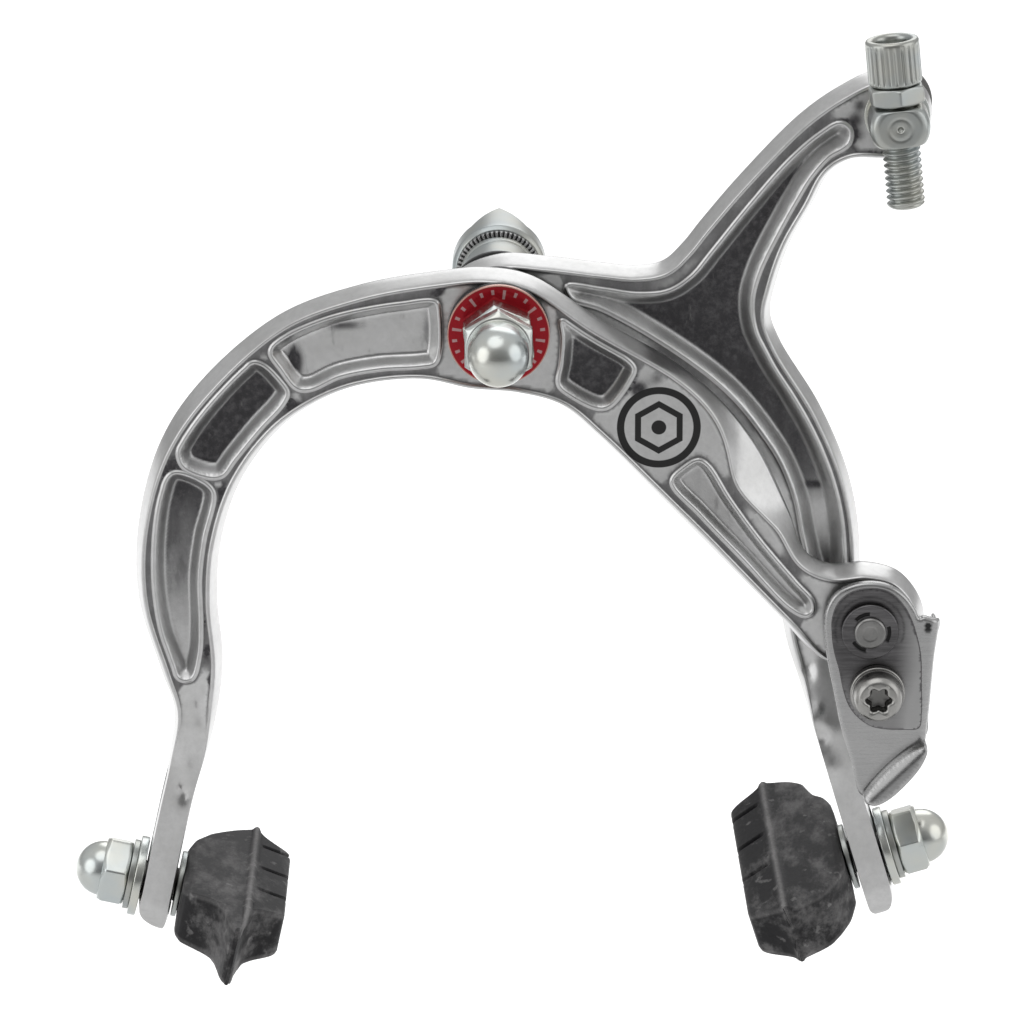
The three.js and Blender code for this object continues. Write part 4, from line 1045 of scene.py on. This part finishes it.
def makeAnchor(plan):
    front = boxOf("anchor_lever")[0][1]
    screw = boxOf("clamp_screw")
    clampAt = np.array([(screw[0][0] + screw[1][0]) / 2, 0,
                        (screw[0][2] + screw[1][2]) / 2]) + plan["clampShift"]
    plateFront = -43.25

    def bent(flat):   # a quarter round that carries the right side back into the flange
        x, z, slope = plan["bendLine"]
        over = np.clip((flat[:, 0] - (x + (flat[:, 1] - z) * slope - plan["bend"])) / plan["bend"], 0, 0.97)
        return plan["bend"] * (1 - np.sqrt(1 - over ** 2)) * smoothStep(-67.5, -65.5, flat[:, 1])

    # Painted shadow: a shade band above the bent tab, and a near-black spot for the shaded gap at the top of the
    # flange.
    def under(flat):   # a shadow line above the bent tab
        x, z = flat[:, 0] - 61.6, flat[:, 1] + 70.0
        along, across = (x + z) / math.sqrt(2), (x - z) / math.sqrt(2)
        shade = 0.25 * smoothStep(1.3, 0.9, np.sqrt((along / 5.6) ** 2 + ((across - 0.4) / 1.7) ** 2))
        return shade + 0.95 * smoothStep(1.15, 0.85,
                                         np.sqrt(((flat[:, 0] - 66.9) / 0.55) ** 2 + ((flat[:, 1] + 47.0) / 0.95) ** 2))

    sheet = platePiece("lever_sheet", plan["sheet"], plateFront, -41.75, 0.6, 420, 0.4, bent, under)
    finishPiece(sheet, panelSteel, "cable_lever", "stainless", "anchor_lever")
    faceLoop = curveThrough(plan["face"], 240, focus=1.5)

    # Painted shade: a dark line in the crease of the stamped ring round the pin, and a painted shadow line along the
    # upper edge of the face.
    def rings(flat):
        r = np.hypot(flat[:, 0] - pin[0], flat[:, 1] - pin[2])
        stamped = 0.5 * np.exp(-((r - 5.35) / 0.16) ** 2) * (flat[:, 1] > pin[2] - 2)
        rim = 0.8 * np.exp(-(segmentDistance(flat, faceLoop) / 0.3) ** 2) * smoothStep(-50, -44, flat[:, 1])
        return np.clip(stamped + rim, 0, 1)

    def lighter(flat):   # the face turns pale to the right and below
        return np.clip(0.75 * smoothStep(61.5, 66, flat[:, 0]) + 0.45 * smoothStep(-52, -63, flat[:, 1]), 0,
                       0.85)

    face = platePiece("lever_face", plan["face"], plateFront - 0.22, plateFront + 0.2, 0.22, 300, 0.3,
                      lambda flat: bent(flat) * 0.9, rings, lighter)
    finishPiece(face, plateSteel, "cable_lever", "stainless")
    flange = platePiece("lever_flange", plan["flange"], -41.9, -36.8, 0.3, 160, 1.0)
    finishPiece(flange, panelSteel, "cable_lever", "stainless")
    def dipping(flat):   # the bent tab slopes back into the sheet on its upper left side
        return 2.4 * smoothStep(1.6, -2.0, (flat[:, 0] - 62.0 - flat[:, 1] - 69.6) / math.sqrt(2))

    # The tab's face gets a flat tone of 0.28: painted shade, darker than the sheet.
    tab = platePiece("lever_tab", plan["tab"], front + 0.7, -42.8, 0.7, 200, 0.4, dipping,
                     lambda flat: 0.28 + 0 * flat[:, 0])
    finishPiece(tab, panelSteel, "cable_lever", "stainless")

    def slots(a, r, z):
        arc = np.abs((-a - 0.09) % (2 * math.pi / 3) - math.pi / 3) > 0.62
        return 0.95 * (arc & (r > 2.72) & (r < 3.3))

    ringRows = [(2.3, -44.6), (2.3, -44.8)] + [(r, -44.82) for r in np.arange(2.5, 4.4,
                                                                              0.12)] + [(4.45, -44.6),
                                                                                        (4.45, -44.3),
                                                                                        (2.3, -44.3),
                                                                                        (2.3, -44.6)]
    points, faces = turned(ringRows, 144, lift=lambda a, r, z: z + 0.18 * slots(a, r, z) * (z < -44.7))
    # tone paints the slot arcs near black: painted shade in the slots.
    values = {"tone": slots(np.arctan2(points[:, 1], points[:, 0]), np.hypot(points[:, 0], points[:, 1]),
                            points[:, 2])}
    centre = (pin[0], 0, pin[2])
    ring = meshPiece("pin_ring", [(placed(points, centre, *alongBolt.values()), faces, values)])
    finishPiece(ring, plateSteel, "front_arm_set", "dark_steel", "pin_retainer")
    low, high = boxOf("anchor_pin")
    headed = [(0, low[1] + 0.05), (1.1, low[1] + 0.05), (1.3, low[1]), (2.2, low[1]), (2.5, low[1] + 0.3),
              (2.5, low[1] + 0.9),
              (2.2, -44.8), (2.2, -44.3), (2.5, -44.2), (2.5, high[1]), (0, high[1])]
    piece = turnedPiece("anchor_pin_headed", headed, alongBolt, centre, sides=72, rounding=0.15)
    finishPiece(piece, darkSteel, "front_arm_set", "dark_steel", "anchor_pin")

    low, high = screw
    star = lambda a, r, z: np.where((r > 0.5) & (r < 2.5) & (z < low[1] + 2.5),
                                    r * (1 + 0.15 * np.cos(6 * a)), r)
    head = [(0, low[1] + 2.2), (1.0, low[1] + 2.2), (1.6, low[1] + 2.1), (1.7, low[1] + 1.0),
            (1.78, low[1] + 0.3), (2.2, low[1] + 0.02),
            (3.0, low[1] + 0.1), (3.6, low[1] + 0.8), (3.85, low[1] + 1.8), (4.0, low[1] + 2.9),
            (4.12, low[1] + 3.1), (4.12, -45.5),
            (2.5, -45.5), (2.5, high[1]), (0, high[1])]
    # tone darkens the inside of the star recess: painted shade.
    piece = turnedPiece("clamp_screw_domed", head, alongBolt, clampAt, sides=144, reach=star, rounding=0.3,
                        tone=lambda a, r, z: 0.55 * smoothStep(2.3, 1.9, r) * smoothStep(low[1] + 0.1,
                                                                                         low[1] + 0.7, z))
    finishPiece(piece, warmSteel, "cable_lever", "zinc", "clamp_screw")
    low, high = boxOf("clamp_washer")
    profile = ringProfile(2.7, 4.3, low[1], high[1])
    piece = turnedPiece("clamp_washer_bright", profile, alongBolt, clampAt, sides=96, rounding=0.35)
    finishPiece(piece, warmSteel, "cable_lever", "zinc", "clamp_washer")
    low, high = boxOf("clamp_nut")
    profile = hexProfile(7.0, 2.65, low[1], high[1])
    piece = turnedPiece("clamp_nut_square", profile, alongBolt, clampAt, sides=96, flats=4, across=7.0)
    finishPiece(piece, zincGrey, "cable_lever", "zinc", "clamp_nut")


makeAnchor(leverPlan)
print("stage: cable anchor")


stopPlan = {"collarFlats": 6.0, "barrelRadius": 4.15, "flutes": 25, "fluteDepth": 0.34, "thread": 2.95,
            "pitch": 1.0}


def makeCableStop(plan):
    axis = axisOf("adjuster_turn")
    across = np.array([axis[2], 0, -axis[0]])
    head = dict(right=across, forward=axis, axis=(0, 1, 0))
    seat = (tip[0], 0, tip[2])
    low, high = boxOf("barrel_swivel")
    collar = [(0, low[1] + 0.55), (0.3, low[1] + 0.35), (0.55, low[1] + 0.05), (1.3, low[1] + 0.02),
              (1.75, low[1] + 0.1), (2.1, low[1] + 0.02),
              (3.3, low[1]), (4.1, low[1] + 0.35), (4.6, low[1] + 1.1), (4.7, low[1] + 2.2), (4.7, -32.2),
              (4.3, -31.4), (0, -31.4)]
    piece = turnedPiece("swivel_collar", collar, head, seat, sides=144, flats=2, across=plan["collarFlats"],
                        phase=math.pi / 2, round=0.5, rounding=0.3)
    finishPiece(piece, zincGrey, "cable_stop", "zinc", "barrel_swivel")
    shank = [(0, -31.8), (4.0, -31.8), (4.0, -22.1), (3.4, -21.9), (3.4, -21.4), (4.0, -21.2),
             (4.0, high[1] + 0.0), (0, high[1])]
    piece = turnedPiece("swivel_shank", shank, head, seat, sides=72, rounding=0.2)
    finishPiece(piece, zincGrey, "cable_stop", "zinc")
    for node, inner, material, slot in (("swivel_washer", 4.1, zinc, "zinc"),
                                        ("swivel_clip", 3.45, darkSteel, "dark_steel")):
        low, high = boxOf(node)
        outer = (high[0] - low[0]) / 2
        profile = ringProfile(inner, outer, low[1], high[1])
        mouth = None
        if node == "swivel_clip":   # the clip stays open towards the bottom
            mouth = lambda a, r, z: np.where(np.abs(a - 1.5 * math.pi) < 0.5, np.minimum(r, 3.55), r)
        piece = turnedPiece(node + "_ring", profile, head, seat, sides=120, rounding=0.12, reach=mouth)
        finishPiece(piece, material, "cable_stop", slot, node)

    upright = dict(right=across, forward=(0, 1, 0), axis=axis)
    centre = (tip[0], tip[1], tip[2])
    profile = hexProfile(8.0, 3.1, 3.2, 6.15, 0.3)
    piece = turnedPiece("adjuster_lock_nut", profile, upright, centre, sides=144, flats=6, across=8.0,
                        phase=0.1)
    finishPiece(piece, zincGrey, "stop_nut", "zinc", "adjuster_locknut")

    R = plan["barrelRadius"]
    rows = [(1.1, -5), (1.1, -13.0), (2.35, -13.15), (2.7, -12.9)]
    rows += [(plan["thread"], z) for z in np.arange(-12.7, 6.3, 0.1)]
    rows += [(3.6, 6.35), (3.95, 6.4), (4.1, 6.6)] + [(R, z) for z in np.arange(6.8, 12.5, 0.35)]
    rows += [(R, 12.7), (R - 0.03, 13.0), (R - 0.2, 13.28), (R - 0.5, 13.4), (R - 0.85, 13.36),
             (R - 1.15, 13.2), (2.8, 12.9), (2.75, 12.4),
             (2.75, 6.9), (1.1, 6.8), (1.1, -5)]

    def shaped(a, r, z):
        onThread = (z > -12.8) & (z < 6.3) & (r > 2.5)
        helix = 0.29 * (1 - np.cos(2 * math.pi * z / plan["pitch"] - a)) * smoothStep(6.3, 5.9,
                                                                                      z) * smoothStep(-13.0, -12.0, z)
        onKnurl = smoothStep(6.5, 7.3, z) * smoothStep(12.75, 12.0, z) * (r > 4)
        uneven = a * plan["flutes"] + 0.9 * np.sin(3 * a + 0.6) + 0.5 * np.sin(7 * a)
        flute = plan["fluteDepth"] * smoothStep(0.1, 0.95, np.cos(uneven)) * (0.7 + 0.3 * np.sin(5 * a + 1))
        return r - np.where(onThread, helix, 0) - onKnurl * flute

    points, faces = turned(rows, 288, reach=shaped)
    barrel = meshPiece("adjuster_barrel_knurled", [(placed(points, centre, *upright.values()), faces)])
    finishPiece(barrel, zincGrey, "stop_barrel", "zinc", "adjuster_barrel")


makeCableStop(stopPlan)
print("stage: cable stop")


padPlan = {
    "left": {
        "back": [(-25.6, 12.9), (-25.0, 12.2), (-23.4, 11.7), (-21.4, 11.3), (-18.8, 10.7), (-16.6, 9.8),
                 (-15.4, 8.6), (-14.4, 6.6),
                 (-13.4, 4.6), (-12, 3.8), (-10.5, 3.7), (6, 3.7), (9.0, 4.5), (12.6, 6.8), (15.6, 10.5),
                 (17.1, 13.2), (17.4, 14.0)],
        "front": [(-25.6, 13.3), (-25.0, 13.7), (-23.4, 13.9), (-21, 14.1), (-18.4, 14.6), (-16.2, 15.5),
                  (-14.8, 17.0), (-14.0, 18.8),
                  (-13.4, 19.8), (-12.4, 20.3), (12.8, 20.3), (13.6, 19.8), (14.4, 18), (15.6, 16),
                  (17.4, 14.7)],
        "grooves": (-4.3, 4.9, 14.1)},
    "right": {
        "back": [(-20.7, 13.5), (-20.2, 11.5), (-19.5, 9.6), (-18.0, 7.7), (-15.5, 6.9), (-14.0, 6.3),
                 (-12.6, 4.8), (-11.0, 4.0),
                 (-8, 3.7), (8.5, 3.7), (10.5, 4.4), (12.4, 5.2), (14.6, 6.7), (16.6, 8.6), (17.5, 11.2),
                 (17.9, 13.8)],
        "front": [(-20.7, 14.3), (-20.2, 15.3), (-19.4, 16.6), (-18.6, 19.0), (-17.6, 20.3), (13.5, 20.3),
                  (15.0, 19.9), (15.8, 18.5),
                  (16.6, 16.2), (17.9, 14.3)],
        "grooves": (-12.5, -3.3, 5.9)},
    "tall": [(3.5, 3.85), (5.0, 4.4), (9, 4.75), (13.45, 4.95), (13.75, 5.3), (14.2, 5.42), (14.65, 5.3),
             (15.0, 4.85), (20.3, 3.5)],
    "edge": 0.5, "grooveHalf": 0.45, "grooveDeep": 1.7,
    "pitch": {"left": 1.4, "right": -11.7}, "seat": {"left": 2.85, "right": 2.7},
}


def padFrame(side):
    turn = math.radians(padPlan["pitch"][side])
    up = axisOf(side + "_pad_height")
    forward = np.array([0, 1.0 if side == "left" else -1.0, 0])
    return pivotOf(side + "_pad_pitch"), axisOf(side + "_pad_pitch"), (
        math.cos(turn) * forward + math.sin(turn) * up), (math.cos(turn) * up - math.sin(turn) * forward)


# The rubber: at each station y the section runs from the back x to the front x with half height tall(x),
# its edges rounded; diagonal grooves are pressed into the front face and its sloping flanks.
def padRubber(side, plan):
    own = plan[side]
    first, last = own["back"][0][0], own["back"][-1][0]
    stations = np.unique(np.concatenate([np.linspace(first, first + 12, 90),
                                         np.linspace(first + 12, last - 8, 190),
                                         np.linspace(last - 8, last, 60)]))
    back = np.interp(stations, *np.array(own["back"]).T)
    front = np.interp(stations, *np.array(own["front"]).T)
    smooth = lambda v: np.convolve(np.pad(v, 3, mode="edge"), np.ones(7) / 7, "valid")
    back, front = smooth(back), smooth(front)
    t = (1 - np.cos(np.linspace(0, math.pi, 60))) / 2
    t = 0.45 * t + 0.55 * np.linspace(0, 1, 60)
    xTop = back[:, None] + (front - back)[:, None] * t
    flank = np.interp(xTop, *np.array(plan["tall"]).T)
    edge = np.minimum(plan["edge"], (front - back)[:, None] * 0.45)
    near = np.minimum(xTop - back[:, None], front[:, None] - xTop)
    round = edge - np.sqrt(np.maximum(edge ** 2 - np.maximum(edge - near, 0) ** 2, 0))
    zTop = flank - round
    across = np.linspace(1, -1, 18)[1:-1]
    faceX, faceZ = np.repeat(front[:, None], 16, 1), zTop[:, -1:] * across
    backX, backZ = np.repeat(back[:, None], 16, 1), -zTop[:, :1] * across
    x = np.hstack([xTop, faceX, xTop[:, ::-1], backX])
    z = np.hstack([zTop, faceZ, -zTop[:, ::-1], backZ])
    y = np.repeat(stations[:, None], x.shape[1], 1)
    frontHere = front[:, None]
    for at in own["grooves"]:
        inFace = smoothStep(plan["grooveHalf"] + 0.2, plan["grooveHalf"] - 0.15, np.abs(y - at + 0.53 * z))
        x = np.minimum(x, frontHere - plan["grooveDeep"] * inFace * (x > 16))
        slant = y - at + np.sign(z) * 1.9 + (frontHere - x) * 0.2
        onFlank = smoothStep(0.6, 0.25, np.abs(slant)) * smoothStep(15.3, 16.2, x) * (np.abs(z) > 2.2)
        z = z - np.sign(z) * onFlank * 0.9
    # tone: a painted highlight along the ridge of the flanks and the rounded edges of the top and bottom.
    ridge = np.exp(-((x - 14.2) / 0.42) ** 2) * (np.abs(z) > 3)
    rim = np.hstack([np.exp(-near / 0.5), np.zeros_like(faceX), np.exp(-near[:, ::-1] / 0.5),
                     np.zeros_like(backX)])
    tone = 1.0 * ridge + 0.35 * rim
    points = np.stack([x, y, z], -1).reshape(-1, 3)
    n = x.shape[1]
    ends = []
    for row in (0, len(stations) - 1):
        ring = np.arange(n) + row * n
        ends.append(ring)
    faces = gridFaces(len(stations), n)
    origin, axis, forward, up = padFrame(side)
    spot = placed(points, origin, axis, forward, up)
    caps = []
    for ring in ends:
        middle = spot[ring].mean(0)
        caps.append((np.vstack([spot[ring], middle]),
                     np.stack([np.arange(n), (np.arange(n) + 1) % n, np.full(n, n)], 1)))
    return meshPiece(side + "_pad_rubber", [(spot, faces, {"tone": tone.ravel()}), *caps])


def makePad(side, plan):
    rubberPiece = padRubber(side, plan)
    finishPiece(rubberPiece, rubber, side + "_pad", "rubber", side + "_pad_block")
    stud, axis, up = pivotOf(side + "_pad_pitch"), axisOf(side + "_pad_pitch"), axisOf(side + "_pad_height")
    across = dict(right=(0, 1, 0), forward=up, axis=axis)
    seat = plan["seat"][side]
    carrier = side + "_pad_carrier"
    rings = (("pad_washer", 6.4, -(seat + 1.2), -(seat - 0.15), zinc, 0.25),
             ("pad_lock_washer", 5.6, -(seat + 2.12), -(seat + 1.26), zincGrey, 0.1),
             ("pad_inner_washer", 5.3, seat, seat + 0.8, zincGrey, 0.15))
    for node, outer, low, high, material, rounding in rings:
        piece = turnedPiece(f"{side}_{node}_ring", ringProfile(3.1, outer, low, high), across, stud, sides=96,
                            rounding=rounding)
        finishPiece(piece, material, carrier, "zinc", f"{side}_{node}")
    rear = -(seat + 2.2)
    profile = acornProfile(10.0, rear - 8.4, rear - 4.3, rear, 4.4)
    nut = turnedPiece(side + "_pad_nut_bright", profile, across, stud, sides=144, flats=6, across=10.0,
                      phase=math.radians(13 if side == "left" else 18))
    finishPiece(nut, zinc, carrier, "zinc", side + "_pad_nut")
    rows = [(0, rear - 3.2), (2.4, rear - 3.2)] + [(2.88, x) for x in np.arange(rear - 2.8, 4.0,
                                                                                0.1)] + [(2.88, 5.6),
                                                                                         (0, 5.6)]
    thread = lambda a, r, z: r - 0.24 * (1 - np.cos(2 * math.pi * z - a)) * (z < 3.9) * (r > 2.6)
    points, faces = turned(rows, 48, reach=thread)
    post = meshPiece(side + "_pad_stud_threaded", [(placed(points, stud, (0, 1, 0), up, axis), faces)])
    finishPiece(post, darkSteel, side + "_pad", "dark_steel", side + "_pad_stud")


for side in ("left", "right"):
    makePad(side, padPlan)
print("stage: pads")

floorPlan = {"half": 3000, "below": 170, "glow": 0.80}


def makeFloor(plan):
    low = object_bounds()[0][2] / millimetre - plan["below"]
    half = plan["half"]
    grid = np.linspace(-half, half, 9)
    x, y = np.meshgrid(grid, grid)
    points = np.stack([x.ravel(), y.ravel(), np.full(x.size, low)], 1)
    floor = meshPiece("floor", [(points, gridFaces(9, 9, closed=False))])
    f = Finish("floor_pale", Roughness=0.9, Emission_Strength=plan["glow"])
    soft = f.noise(3, detail=2)
    shade = f.mix(soft, (0.90, 0.90, 0.90), (0.92, 0.92, 0.92))
    place = f.add("ShaderNodeTexCoord", {}, {}, "Object")
    split = f.add("ShaderNodeSeparateXYZ", {}, {0: place})
    depth = Value(f, split.socket.node.outputs[1])
    lit = f.mix(depth.above(0.3, 0.5), (0.0, 0.0, 0.0), shade)   # the backdrop half glows
    floor.data.materials.append(f.finish(Base_Color=shade, Emission_Color=lit))
    floor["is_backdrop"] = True


makeFloor(floorPlan)

# A light tent: bright above and beside, darker towards the open front, as around a product table.
def makeWorld():
    world = bpy.data.worlds.new("light_tent")
    bpy.context.scene.world = world
    world.use_nodes = True
    tree = world.node_tree
    tree.nodes.clear()
    place = tree.nodes.new("ShaderNodeTexCoord")
    split = tree.nodes.new("ShaderNodeSeparateXYZ")
    tree.links.new(place.outputs["Generated"], split.inputs[0])

    def ramp(source, stops):
        node = tree.nodes.new("ShaderNodeValToRGB")
        node.color_ramp.interpolation = "EASE"
        while len(node.color_ramp.elements) < len(stops):
            node.color_ramp.elements.new(0.5)
        for element, (position, level) in zip(node.color_ramp.elements, stops):
            element.position, element.color = position, (level, level, level, 1)
        shift = tree.nodes.new("ShaderNodeMapRange")
        shift.inputs[1].default_value, shift.inputs[2].default_value = -1, 1
        tree.links.new(source, shift.inputs[0])
        tree.links.new(shift.outputs[0], node.inputs[0])
        return node.outputs[0]

    byHeight = ramp(split.outputs[2], [(0.0, 0.9), (0.42, 0.75), (0.55, 0.55), (0.72, 0.75), (1.0, 0.8)])
    byFront = ramp(split.outputs[1], [(0.0, 0.35), (0.08, 0.45), (0.25, 0.85), (0.6, 1.0), (1.0, 0.9)])
    mix = tree.nodes.new("ShaderNodeMix")
    mix.data_type, mix.blend_type = "RGBA", "MULTIPLY"
    mix.inputs[0].default_value = 1
    tree.links.new(byHeight, mix.inputs[6])
    tree.links.new(byFront, mix.inputs[7])
    background = tree.nodes.new("ShaderNodeBackground")
    background.inputs[1].default_value = 0.80
    tree.links.new(mix.outputs[2], background.inputs[0])
    output = tree.nodes.new("ShaderNodeOutputWorld")
    tree.links.new(background.outputs[0], output.inputs[0])


makeWorld()
bpy.context.scene.view_settings.view_transform = "Standard"
print("stage: surroundings")
